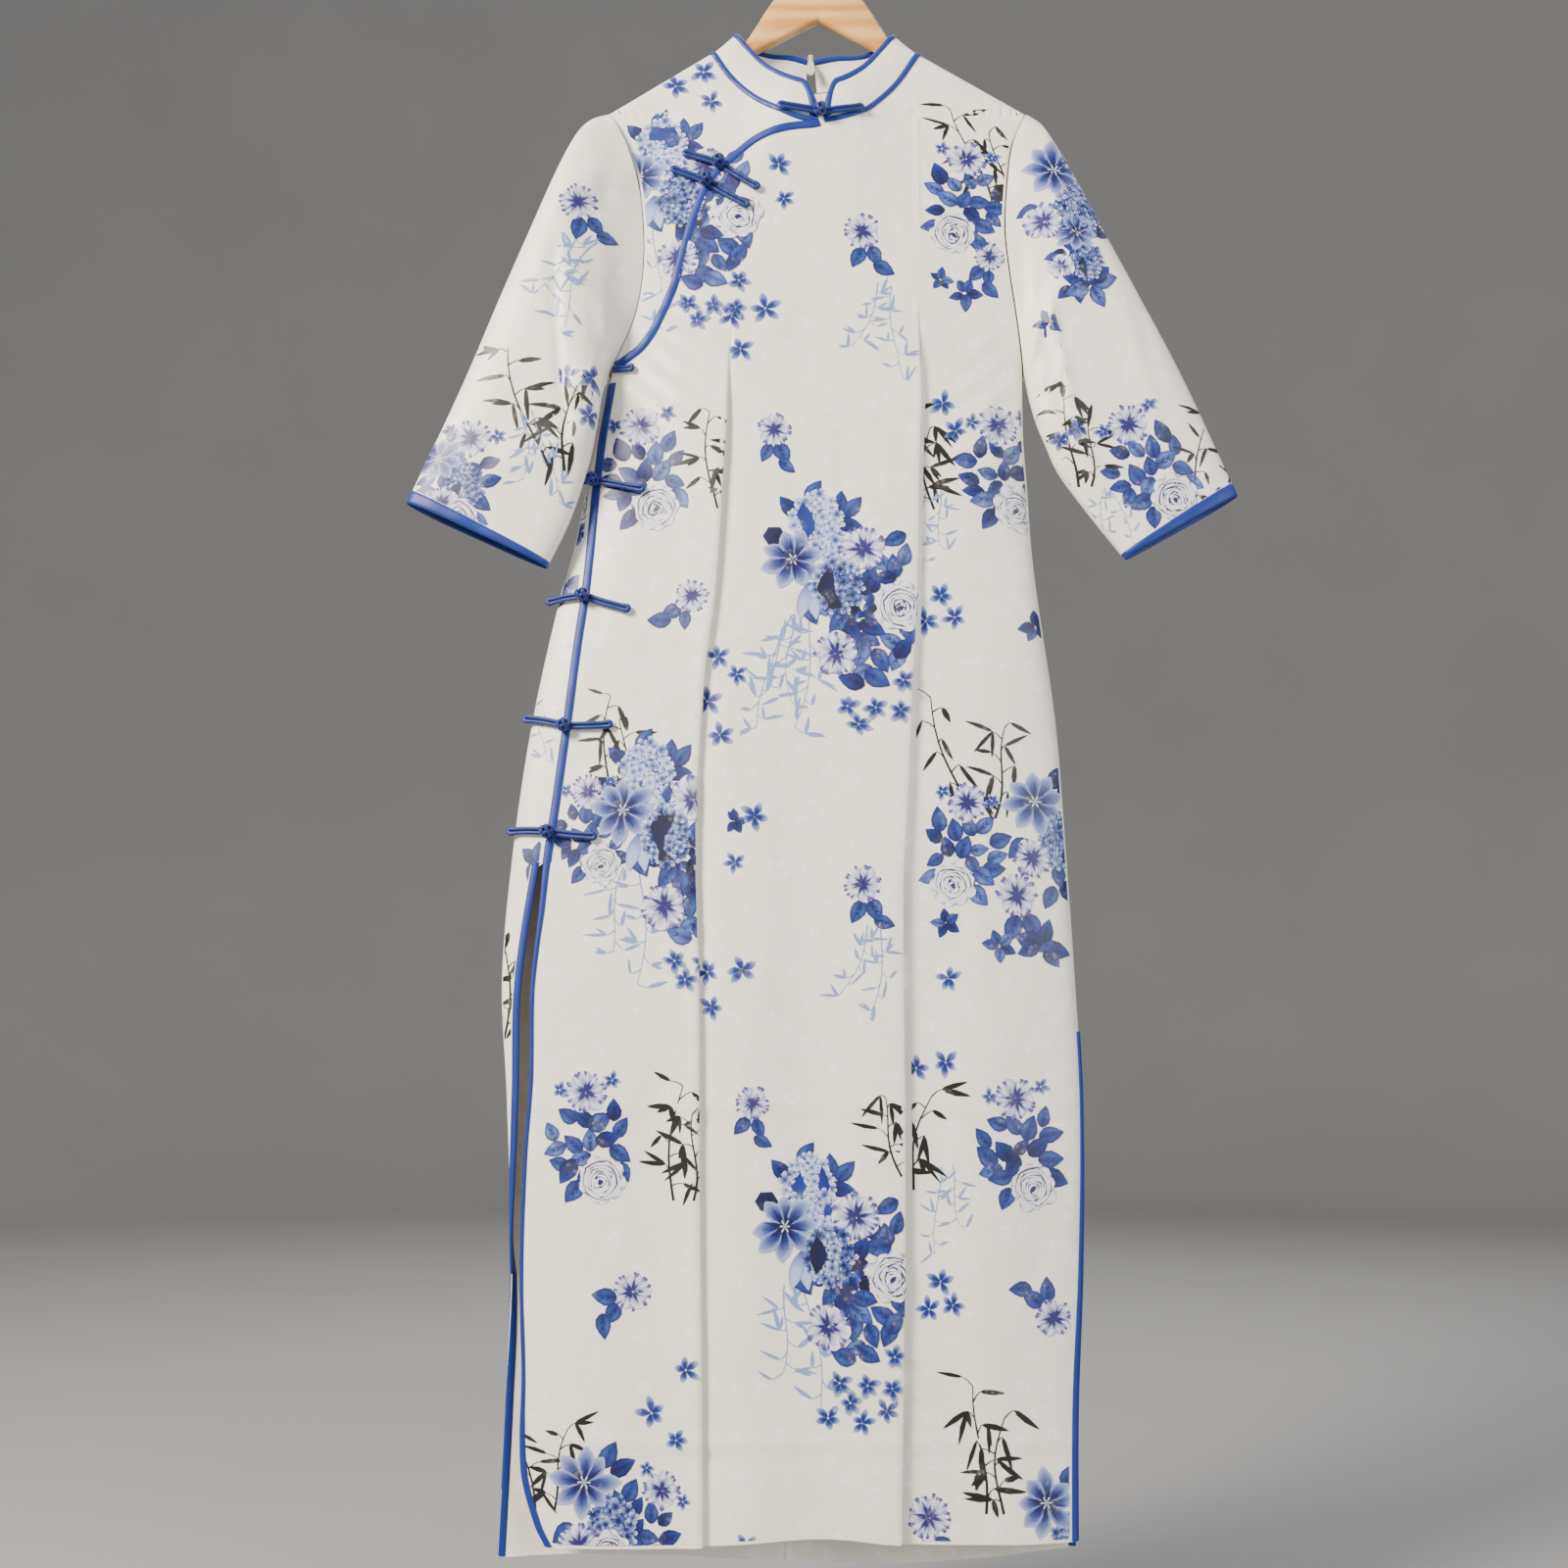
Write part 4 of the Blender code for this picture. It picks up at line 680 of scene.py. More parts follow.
def shell(name, rows, wall, mat, outward, closed=False, face=None):
    """Cloth wall whose outer side is a grid of points; outward is a point well outside it."""
    normals = grid_normals(rows, closed)
    i, j = len(rows) // 2, len(rows[0]) // 3
    sign = 1 if normals[i][j].dot(outward - rows[i][j]) > 0 else -1
    width, total = len(rows[0]), len(rows) * len(rows[0])
    points = [p for row in rows for p in row]
    inner = [p - sign * wall * n for row, ns in zip(rows, normals) for p, n in zip(row, ns)]
    points += inner if face is None else [seam_shift(p, face) for p in inner]
    faces = []
    for i in range(len(rows) - 1):
        for j in range(width if closed else width - 1):
            a, b = i * width + j, i * width + (j + 1) % width
            faces.append((a, b, b + width, a + width))
            faces.append((a + total, a + width + total, b + width + total, b + total))
    for r in (0, len(rows) - 1):
        end = [r * width + j for j in range(width)]
        pairs = zip(end, end[1:] + (end[:1] if closed else []))
        faces += [(a, b, b + total, a + total) for a, b in pairs]
    if not closed:
        for c in (0, width - 1):
            side = [i * width + c for i in range(len(rows))]
            faces += [(a, b, b + total, a + total) for a, b in zip(side, side[1:])]
    return add(name, points, faces, mat)


def swept(sections, closed=False):
    """Points and faces of a tube through closed sections; its ends are capped."""
    n, count = len(sections[0]), len(sections)
    points = [p for section in sections for p in section]
    faces = []
    for i in range(count if closed else count - 1):
        for k in range(n):
            a, b = i * n, (i + 1) % count * n
            faces.append((a + k, a + (k + 1) % n, b + (k + 1) % n, b + k))
    if not closed:
        faces += [tuple(range(n)), tuple(range((count - 1) * n, count * n))]
    return points, faces


def cord_sections(path, ups, radius, flat=1.0, closed=False, around=8):
    """Round sections along a path; ups point out of the cloth."""
    sections, count = [], len(path)
    for i, (p, up) in enumerate(zip(path, ups)):
        if closed:
            along = (path[(i + 1) % count] - path[i - 1]).normalized()
        else:
            along = (path[min(i + 1, count - 1)] - path[max(i - 1, 0)]).normalized()
        side = along.cross(up).normalized()
        out = side.cross(along).normalized()
        r = radius[i] if isinstance(radius, list) else radius
        turns = [2 * math.pi * k / around for k in range(around)]
        sections.append([p + side * r * math.cos(a) + out * r * flat * math.sin(a) for a in turns])
    return sections


def joined(*solids):
    points, faces = [], []
    for some_points, some_faces in solids:
        base = len(points)
        points += some_points
        faces += [tuple(base + i for i in face) for face in some_faces]
    return points, faces


FAR_FRONT = Vector((0, -3, -0.8))
FAR_BACK = Vector((0, 3, -0.8))


# Body panels

RIDGE_ROWS = (0.0, 0.0012, 0.003, 0.0055, 0.0095)
BODY_ROWS = 236


def seam_shift(point, face):
    """Keeps a point of the shoulders on its own side of the shoulder seam."""
    if point.z > NECK_Z - ARMPIT_DROP and face * point.y < SEAM_GAP / 2:
        point.y = face * SEAM_GAP / 2
    return point


def settle(start, step, count=30):
    """Value that a step leaves unchanged, found by repeating it."""
    for _ in range(count):
        start = blend(start, step(start), 0.5)
    return start


def rows_from_tops(columns, tops, hems, body_rows=BODY_ROWS):
    """Grid whose columns start on the panel's top edge and end on its hem."""
    rows = []
    for i in range(len(RIDGE_ROWS) + body_rows):
        row = []
        for column, top, hem in zip(columns, tops, hems):
            if i < len(RIDGE_ROWS):
                drop = top + RIDGE_ROWS[i]
            else:
                t = (i - len(RIDGE_ROWS) + 1) / body_rows
                drop = blend(top + RIDGE_ROWS[-1], hem, t)
            row.append(column(drop))
        rows.append(row)
    return rows


def neck_line(table, distance, count=24):
    return [away_from_neck(x, d, distance) for x, d in sampled(table, count)]


OPENING_LINE = sampled(OPENING, 60)
OPENING_RIGHT = moved_aside(OPENING_LINE, 0.0012)
OPENING_LEFT = moved_aside(OPENING_LINE, -UNDER_PIPING)
FRONT_NECK_LINE = neck_line(NECK_FRONT, 0.0006)
BACK_NECK_LINE = neck_line(NECK_BACK, 0.0006)


def front_top(x):
    if x < OPENING_RIGHT[-1][0]:
        return drop_on(OPENING_RIGHT, x)
    if x < FRONT_NECK_LINE[-1][0]:
        return max(drop_on(FRONT_NECK_LINE, x), ridge_drop(x))
    return ridge_drop(x)


# The way round a knife fold: place across it and lift, in shares of its width and step
FOLD_TURNS = ((-0.5, 0.5), (-0.05, 0.46), (0.36, 0.36), (0.42, 0.22), (0.34, 0.06), (0.05, -0.10),
              (-0.12, -0.26), (0.0, -0.42), (0.5, -0.5))
FRONT_COUNTS = (34, 40, 40)


def front_place(k, drop):
    """Column k of the front panel at a drop: x, and the fold it turns round with its step."""
    below = max(drop, ARMPIT_DROP)
    left = FRONT_LINE.at(below, "x") + 0.0015
    right = sides(max(drop, TIP_DROP))[1] - SEAM_GAP
    lines = [line.at(drop, "x") for _, line in FOLDS]
    half = FOLD_WIDTH / 2
    spans = [(left, lines[0] - half), (lines[0] + half, lines[1] - half), (lines[1] + half, right)]
    for i, n in enumerate(FRONT_COUNTS):
        if k <= n:
            a, b = spans[i]
            if i < 2:
                return blend(a, b, k / n), None
            ta, tb = turn_at(a, drop), turn_at(b, drop)
            mid = sum(sides(max(drop, TIP_DROP))) / 2
            return min(mid + (b - mid) * math.cos(blend(ta, tb, k / n)), b), None
        k -= n + 1
        if k < len(FOLD_TURNS) - 2:
            return lines[i], (i, k + 1)
        k -= len(FOLD_TURNS) - 2
    raise ValueError("no such column")


def front_at(k, drop):
    x, fold = front_place(k, drop)
    if fold is None:
        return seam_shift(place(x, -depth(x, drop, FRONT), drop), FRONT)
    number, turn = fold
    start = FOLDS[number][0]
    grown = fold_grown(start, drop)
    even = blend(-0.5, 0.5, turn / (len(FOLD_TURNS) - 1))
    across, lift = FOLD_TURNS[turn]
    ground = depth(x - FOLD_WIDTH / 2, drop, FRONT) - FOLD_STEP * grown * 0.5
    across = blend(even, across, smooth(grown))
    return seam_shift(place(x + across * FOLD_WIDTH, -ground - FOLD_STEP * grown * lift, drop), FRONT)


def front_panel():
    columns, tops, hems = [], [], []
    for k in range(sum(FRONT_COUNTS) + 3 + 2 * (len(FOLD_TURNS) - 2)):
        columns.append(lambda drop, k=k: front_at(k, drop))
        tops.append(settle(0.2, lambda d, k=k: front_top(front_place(k, d)[0])))
        hems.append(settle(1.4, lambda d, k=k: HEM_FRONT.at(front_place(k, d)[0], "drop")))
    rows = rows_from_tops(columns, tops, hems)
    return shell("front_panel", rows, CLOTH_WALL, SATIN, FAR_FRONT, face=FRONT)


def front_overlap():
    """Shoulder piece between the ridge, the armhole, the neck and the curved opening."""
    left_neck = [p for p in FRONT_NECK_LINE if p[0] < OPENING_LEFT[-1][0]]
    left_neck.append(OPENING_LEFT[-1])
    opening = list(reversed(OPENING_LEFT))
    tip_x = sides(TIP_DROP)[0] + SEAM_GAP

    def on(line, t):
        i = min(int(t * (len(line) - 1)), len(line) - 2)
        f = t * (len(line) - 1) - i
        return Vector((blend(line[i][0], line[i + 1][0], f), blend(line[i][1], line[i + 1][1], f)))

    neck_x, neck_drop = left_neck[0]

    def ridge(u):
        return Vector((blend(neck_x, tip_x, u), blend(neck_drop, TIP_DROP, u)))

    def armhole(v):
        drop = blend(TIP_DROP, opening[-1][1], v)
        return Vector((sides(drop)[0] + SEAM_GAP, drop))

    a, b, c, d = ridge(0), ridge(1), armhole(1), on(left_neck, 1)
    opening[-1] = tuple(c)
    rows = []
    for v in [0, 0.005, 0.012, 0.022] + [blend(0.035, 1, i / 40) for i in range(41)]:
        row = []
        for j in range(49):
            u = j / 48
            flat = (ridge(u) * (1 - v) + on(opening, u) * v + on(left_neck, v) * (1 - u)
                    + armhole(v) * u - (a * (1 - u) + b * u) * (1 - v) - (d * (1 - u) + c * u) * v)
            x, drop = flat
            drop = max(drop, ridge_drop(x))
            y = -depth(x, drop, FRONT) + OVERLAP_UNDER * v * v
            row.append(seam_shift(place(x, y, drop), FRONT))
        rows.append(row)
    return shell("front_overlap", rows, CLOTH_WALL, SATIN, FAR_FRONT, face=FRONT)


def back_edge_turn(drop):
    """Turn at which the back's left edge ends: wrapped onto the front below the armpit."""
    if drop < ARMPIT_DROP:
        return math.pi
    if drop < SLIT_LEFT_DROP:
        wrapped = turn_at(FRONT_LINE.at(drop, "x") + UNDER_PIPING, drop)
        return blend(math.pi, wrapped, smooth((drop - ARMPIT_DROP) / 0.03))
    return math.pi - BACK_WRAP.at(drop, "turn")


def zip_line_x(drop):
    """Centre back seam: from the collar's back to the middle of the hem."""
    left, right = sides(max(drop, TIP_DROP))
    return blend(ZIP_X, (left + right) / 2, smooth(drop / 0.35))


def back_half(name, side):
    columns, tops, hems = [], [], []
    inside, outside = 22, 30
    corner_x = BACK_NECK_LINE[0 if side < 0 else -1][0]
    for k in range(inside + 1 + outside + 1):
        def turn(drop, k=k):
            middle = 2 * math.pi - turn_at(zip_line_x(drop) + side * SEAM_GAP / 3, drop)
            near = 2 * math.pi - turn_at(corner_x - side * 0.003, drop)
            corner = 2 * math.pi - turn_at(corner_x, drop)
            edge = back_edge_turn(drop) if side < 0 else 2 * math.pi - 0.02
            if k <= inside:
                return blend(middle, near, (k / inside)**1.5)
            return blend(corner, edge, (k - inside - 1) / outside)

        def column(drop, turn=turn, k=k):
            point = ring(turn(drop), drop)
            point.y -= SEAM_DIP * max(0.0, 1 - k / 2)
            return seam_shift(point, BACK)

        def back_top(drop, turn=turn):
            x = ring(turn(drop), drop).x
            if BACK_NECK_LINE[0][0] < x < BACK_NECK_LINE[-1][0]:
                return max(drop_on(BACK_NECK_LINE, x), ridge_drop(x))
            return ridge_drop(x)

        columns.append(column)
        tops.append(settle(0.1, back_top))
        hems.append(settle(1.42, lambda d, t=turn: HEM_BACK.at(ring(t(d), d).x, "drop")))
    rows = rows_from_tops(columns, tops, hems)
    return shell(name, rows, CLOTH_WALL, SATIN, FAR_BACK, face=BACK)


# Sleeves

# Creases across the sleeves: both ends as shares along (s) and across (t), height and half width
SLEEVE_CREASES = {
    "right": ((0.03, 0.95, 0.40, 0.30, 0.0050, 0.040), (0.40, 0.30, 0.62, 0.80, -0.0040, 0.045),
              (0.16, 1.0, 0.52, 0.72, 0.0046, 0.035), (0.55, 0.95, 0.88, 0.45, 0.0030, 0.045),
              (0.0, 0.30, 0.30, 0.12, 0.0030, 0.045), (0.0, 0.12, 0.10, 0.30, -0.0022, 0.03)),
    "left": ((0.06, 0.98, 0.40, 0.34, 0.0052, 0.038), (0.28, 0.62, 0.74, 0.86, 0.0044, 0.035),
             (0.18, 1.0, 0.46, 0.80, -0.0042, 0.040), (0.0, 0.3, 0.28, 0.14, 0.0028, 0.045),
             (0.62, 0.20, 0.90, 0.42, 0.0022, 0.050)),
}


def sleeve_bump(which, s, t, front):
    out = 0.0022 * noise_at(s * 3.2, t * 2.4, front * 3 + 8) + 0.0008 * noise_at(s * 11, t * 7, front)
    for s0, t0, s1, t1, height, wide in SLEEVE_CREASES[which]:
        ds, dt = s1 - s0, t1 - t0
        f = min(1.0, max(0.0, ((s - s0) * ds + (t - t0) * dt) / (ds * ds + dt * dt)))
        away = math.hypot(s - s0 - f * ds, t - t0 - f * dt)
        out += height * math.exp(-(away / wide)**2) * (1 if front > 0 else 0.5) * (1.1 - 0.5 * f)
    pucker = max(0.0, 1 - s / 0.12)
    out += 0.0006 * pucker * math.sin(t * 75) * (1 - pucker)
    return out * min(1.0, s / 0.06) * min(1.0, 8 * t * (1 - t))


def sleeve_flat(which, s, t):
    """x and drop of a place on a sleeve, carried straight on beyond its ends."""
    table, side = SLEEVES[which], SLEEVE_SIDE[which]
    near = min(max(s, 0.0), 1.0)
    bulge = ARMHOLE.at(blend(TIP_DROP, ARMPIT_DROP, t), side) \
        - blend(ARMHOLE.at(TIP_DROP, side), ARMHOLE.at(ARMPIT_DROP, side), t)
    x = blend(table.at(near, "out_x"), table.at(near, "in_x"), t) \
        + bulge * max(0, 1 - near / 0.35)**2
    drop = blend(table.at(near, "out_drop"), table.at(near, "in_drop"), t)
    if s != near:
        back = near - math.copysign(0.01, s - near)
        on_x, on_drop = sleeve_flat(which, back, t)
        x, drop = (a + (a - b) * (s - near) / (near - back) for a, b in ((x, on_x), (drop, on_drop)))
    return x, drop


def sleeve_point(which, s, angle, lift=0.0):
    """Point of a sleeve: s along it, angle 0 at the outer edge, pi at the inner edge."""
    table = SLEEVES[which]
    t = (1 - math.cos(angle)) / 2
    x, drop = sleeve_flat(which, s, t)
    thick = oval(t, max(0.0, 1 - s / 0.3))
    front = 1 if math.sin(angle) >= 0 else -1
    y = -front * (table.at(s, "depth") * thick + sleeve_bump(which, s, t, front) + lift) \
        - table.at(s, "forward")
    return place(x, y, drop)


def sleeve(which):
    around, steps = 64, 62
    rows = [[sleeve_point(which, 0.988 * i / steps, 2 * math.pi * (k + 0.5) / around)
             for k in range(around)] for i in range(steps + 1)]
    return shell("sleeve_" + which, rows, CLOTH_WALL, SATIN,
                 rows[30][16] + Vector((0, -9, 0)), closed=True)


# Collar

def collar_base(which, q):
    """Foot of the collar on the neckline."""
    middle = blend(COLLAR_FRONT_X[which], COLLAR_BACK_X, q)
    side_x = NECK_FRONT.rows[0 if which == "right" else -1][0]
    x = blend(middle, side_x, math.sin(math.pi * q))
    face, table = (FRONT, NECK_FRONT) if q < 0.5 else (BACK, NECK_BACK)
    drop = max(table.at(x, "drop"), ridge_drop(x))
    return place(x, face * depth(x, drop, face), drop)


def collar_point(which, length, height):
    """Point of the collar from its flat form: length from the front end, height."""
    q = length / COLLAR_LENGTH
    top = COLLAR_TOP[which]
    base = collar_base(which, min(max(q, 0.0), 1.0))
    edge = place(top.at(q, "x"), top.at(q, "y"), top.at(q, "drop"))
    t = height / COLLAR_HEIGHT
    point = base.lerp(edge, t)
    face = -1 if q < 0.5 else 1
    point.y += face * COLLAR_ROLL * math.sin(math.pi * min(max(t, 0.0), 1.0)) \
        * min(1.0, abs(q - 0.5) * 8)
    return point


def collar_edge(count):
    """Collar's upper edge in its flat form: a quarter ellipse at the front end."""
    line = []
    for i in range(17):
        a = math.pi / 2 * i / 16
        line.append((COLLAR_END_RADIUS * (1 - math.cos(a)), COLLAR_HEIGHT * math.sin(a)))
    rest = COLLAR_LENGTH - COLLAR_END_RADIUS - ZIP_GAP
    line += [(COLLAR_END_RADIUS + rest * i / count, COLLAR_HEIGHT) for i in range(1, count + 1)]
    return line


# Section of the binding round the collar's edge: inwards from the edge, and out of the cloth
COLLAR_SECTION = ((0.0070, 0.0001), (0.0061, 0.0009), (0.0035, 0.0014), (0.0008, 0.0009),
                  (-0.0006, -0.0009), (0.0008, -0.0028), (0.0035, -0.0034), (0.0061, -0.0028),
                  (0.0070, -0.0019))


def collar(which):
    edge = collar_edge(64)
    under = moved_aside(edge, -0.0040)
    under[0] = (under[0][0], 0.0)
    outward = Vector((0, -3, NECK_Z))
    lengths = [under[0][0] + 0.0004 + 0.0022 * i for i in range(10)]
    lengths += [l for l, h in edge if h == COLLAR_HEIGHT]
    rows = []
    for r in range(11):
        row = []
        for l in lengths:
            top = min(drop_on(under, l), COLLAR_HEIGHT - 0.0040)
            row.append(collar_point(which, l, blend(0.0002, top, r / 10)))
        rows.append(row)
    panel = shell("collar_" + which, rows, COLLAR_WALL, SATIN, outward)
    sections = []
    moved = [moved_aside(edge, -inward) for inward, _ in COLLAR_SECTION]
    e = 0.001
    for i, (l, h) in enumerate(edge):
        section = []
        h0 = max(h, 0.002)
        along = collar_point(which, l + e, h0) - collar_point(which, l - e, h0)
        up = collar_point(which, l, h0 + e) - collar_point(which, l, h0 - e)
        out = along.cross(up).normalized()
        out *= 1 if out.dot(collar_point(which, l, h0) - Vector((0, 0.0, NECK_Z))) > 0 else -1
        for (_, rise), line in zip(COLLAR_SECTION, moved):
            ml, mh = line[i]
            mh = min(mh, COLLAR_HEIGHT + 0.0006)
            section.append(collar_point(which, max(ml, 0.0), max(mh, 0.0003)) + out * rise)
        sections.append(section)
    points, faces = swept(sections)
    return panel, add("collar_binding_" + which, points, faces, BINDING, sharp=70)


# Piping and bindings

DOME = ((-1, 0.10), (-0.86, 0.60), (-0.48, 0.93), (0, 1.0), (0.48, 0.93), (0.86, 0.60), (1, 0.10))
PIPING_HEIGHT = 0.0014
SIDE_PIPING_WIDTH = 0.0084
CUFF_WIDTH = 0.0095
NECK_BAND_WIDTH = 0.0058
PIPING_GROUND = 0.0002


def strip(name, at, count, width, wraps=0.0, closed=False, height=PIPING_HEIGHT):
    """Raised band; at(station, across, lift) gives its points. With wraps it grips an edge
    of that cloth wall, otherwise it lies flat on the cloth."""
    sections = []
    for i in range(count):
        section = [at(i, u * width / 2, PIPING_GROUND + height * h) for u, h in DOME]
        if wraps:
            section += [at(i, u * width / 2, -wraps - height * 0.8 * h) for u, h in DOME[::-1]]
        else:
            section += [at(i, u * width / 2, 0.00005) for u in (0.9, -0.9)]
        sections.append(section)
    points, faces = swept(sections, closed)
    return add(name, points, faces, BINDING, sharp=60)


def opening_piping():
    line = sampled(OPENING, 120, 0.012, 0.985) + [(-0.0022, 0.0874), (0.0004, 0.0866)]
    shifted = {}

    def at(i, across, lift):
        if across not in shifted:
            shifted[across] = moved_aside(line, across)
        x, drop = shifted[across][i]
        return body(x, drop, FRONT, lift)

    return strip("opening_piping", at, len(line), SIDE_PIPING_WIDTH)


def front_strip(name, start, end, count, wraps):
    def at(i, across, lift):
        d = blend(start, end, i / (count - 1))
        x = FRONT_LINE.at(d, "x") + (PIPING_WIDTH / 2 + across) * SLIT_SHOWN.at(d, "share")
        ripple = 0.0004 * noise_at(d * 40, across * 30, 3)
        return body(x, d, FRONT, lift + (ripple if lift > 0 else 0))
    return strip(name, at, count, PIPING_WIDTH if wraps else SIDE_PIPING_WIDTH, wraps)


SLIT_TURN = 0.03
TURN_STEP = 0.008


def slit_strip(edge, turn, inward, start, count=130):
    """Band round a slit's edge, a piping's width of cloth wide."""
    places = []
    for i in range(count):
        drop = blend(start, HEM_AT_SLIT[edge], i / (count - 1))
        step, gone = turn(drop) - inward * TURN_STEP / 2, 0.0
        line = [(gone, step)]
        while gone < PIPING_WIDTH:
            gone += (ring(step + inward * TURN_STEP, drop) - ring(step, drop)).length
            step += inward * TURN_STEP
            line.append((gone, step))
        places.append((drop, line))

    def at(i, across, lift):
        drop, line = places[i]
        return ring_out(drop_on(line, across + PIPING_WIDTH / 2), drop, lift)

    return strip("slit_binding_" + edge, at, count, PIPING_WIDTH, CLOTH_WALL)


def cuff_binding(which):
    count = 72

    def at(i, across, lift):
        s = 1.0009 - (across + CUFF_WIDTH / 2) / 0.44
        return sleeve_point(which, s, 2 * math.pi * (i + 0.5) / count, lift)

    return strip("sleeve_binding_" + which, at, count, CUFF_WIDTH, CLOTH_WALL, closed=True)


def neck_piping(which):
    count = 110

    def at(i, across, lift):
        q = blend(0.004, 0.993, i / (count - 1))
        middle = blend(COLLAR_FRONT_X[which], COLLAR_BACK_X, q)
        side_x = NECK_FRONT.rows[0 if which == "right" else -1][0]
        x = blend(middle, side_x, math.sin(math.pi * q))
        face, table = (FRONT, NECK_FRONT) if q < 0.5 else (BACK, NECK_BACK)
        distance = SEAM_GAP + NECK_BAND_WIDTH / 2 + across
        x, drop = away_from_neck(x, table.at(x, "drop"), distance)
        return body(x, max(drop, ridge_drop(x)) + 1e-5, face, lift)

    return strip("neck_piping_" + which, at, count, NECK_BAND_WIDTH)


# Frogs: doubled satin cords sewn down, a woven ball knot and its loop

def frog_ground(x, drop):
    """Front surface under a frog; past the side the cord runs on straight, clear of the body."""
    limit = sides(drop)[0] + 0.007 if drop > 0.2 else -1.0
    y = -depth(max(x, limit), drop, FRONT)
    if x < limit:
        y += 0.55 * (limit - x)
    return place(x, y, drop)


def up_from(x, drop):
    e = 0.001
    up = (frog_ground(x + e, drop) - frog_ground(x - e, drop)).cross(
        frog_ground(x, drop + e) - frog_ground(x, drop - e)).normalized()
    return -up if up.y > 0 else up


def frog_arm(start, end, steps=12):
    """A cord out to the end, round it and back beside itself, as a flat doubled arm."""
    span = Vector((end[0] - start[0], end[1] - start[1]))
    ahead = span.normalized()
    aside = Vector((-ahead.y, ahead.x))
    reach = span.length - CORD_RADIUS * 2
    flat, wide = [], []
    for side in (1, -1):
        for i in range(steps + 1):
            t = i / steps if side > 0 else 1 - i / steps
            swell = 1 + 0.22 * smooth((t - 0.86) / 0.14)
            bow = 0.0006 * math.sin(math.pi * t)
            flat.append(Vector(start) + ahead * reach * t + aside * (side * CORD_RADIUS * swell
                                                                     + bow))
            wide.append(CORD_RADIUS * swell)
        if side > 0:
            for k in (1, 2, 3):
                a = math.pi * k / 4
                flat.append(Vector(start) + ahead * (reach + CORD_RADIUS * 1.2 * math.sin(a))
                            + aside * CORD_RADIUS * 1.22 * math.cos(a))
                wide.append(CORD_RADIUS * 1.22)
    ups = [up_from(*p) for p in flat]
    path = [frog_ground(*p) + up * (CORD_BED + r) for p, up, r in zip(flat, ups, wide)]
    return swept(cord_sections(path, ups, wide))


def ball_knot(base, axis):
    """Three turns and four bights of cord woven into a ball on a short neck."""
    side = axis.orthogonal().normalized()
    other = axis.cross(side).normalized()
    centre = base + axis * (CORD_BED + CORD_RADIUS * 2 + BALL_RADIUS)
    path, ups = [], []
    for i in range(96):
        turn = 6 * math.pi * i / 96
        height = math.radians(58) * math.sin(turn * 4 / 3)
        out = (side * math.cos(turn) + other * math.sin(turn)) * math.cos(height) \
            + axis * math.sin(height)
        over = BALL_RADIUS + 0.0003 * math.cos(turn * 8 / 3 + 0.6)
        path.append(centre + out * over)
        ups.append(out)
    woven = swept(cord_sections(path, ups, BALL_CORD, closed=True, around=7), closed=True)
    neck = [base + axis * h for h in (0.001, 0.004, CORD_BED + CORD_RADIUS * 2 + BALL_RADIUS)]
    return joined(woven, swept(cord_sections(neck, [side] * 3, BALL_NECK)))


def loop_round(base, axis):
    side = axis.orthogonal().normalized()
    other = axis.cross(side).normalized()
    centre = base + axis * (CORD_BED + CORD_RADIUS * 2 + 0.0006)
    turns = [2 * math.pi * i / 28 for i in range(28)]
    path = [centre + (side * math.cos(a) + other * math.sin(a)) * LOOP_RADIUS for a in turns]
    return swept(cord_sections(path, [axis] * 28, LOOP_CORD, closed=True), closed=True)


def frog(number):
    get = lambda column: FROGS.at(number, column)
    centre = (get("x"), get("drop"))
    left, right = (get("left_x"), get("left_drop")), (get("right_x"), get("right_drop"))
    if number == HIDDEN_FROG:
        points, faces = frog_arm(left, right)
        return [add(f"frog_{number}_loop", points, faces, CORD_SATIN, sharp=80)]
    axis = up_from(*centre)
    base = frog_ground(*centre)
    made = []
    for side, solids in (("knot", (frog_arm(centre, right), ball_knot(base, axis))),
                         ("loop", (frog_arm(centre, left), loop_round(base, axis)))):
        points, faces = joined(*solids)
        made.append(add(f"frog_{number}_{side}", points, faces, CORD_SATIN, sharp=80))
    return made


# Hanger

def hanger_top(x):
    """Upper edge of the wood: the neck's bow, then just under the shoulder seams."""
    under = lambda x: NECK_Z - ridge_drop(x) - HANGER_CLEARANCE
    inner, outer = HANGER_UPPER.rows[-1][0], HANGER_UNDER_CLOTH
    if abs(x) <= inner:
        return HANGER_UPPER.at(abs(x), "z")
    if abs(x) >= outer:
        return under(x)
    t = (abs(x) - inner) / (outer - inner)
    return blend(HANGER_UPPER.at(inner, "z"), under(math.copysign(outer, x)), t)


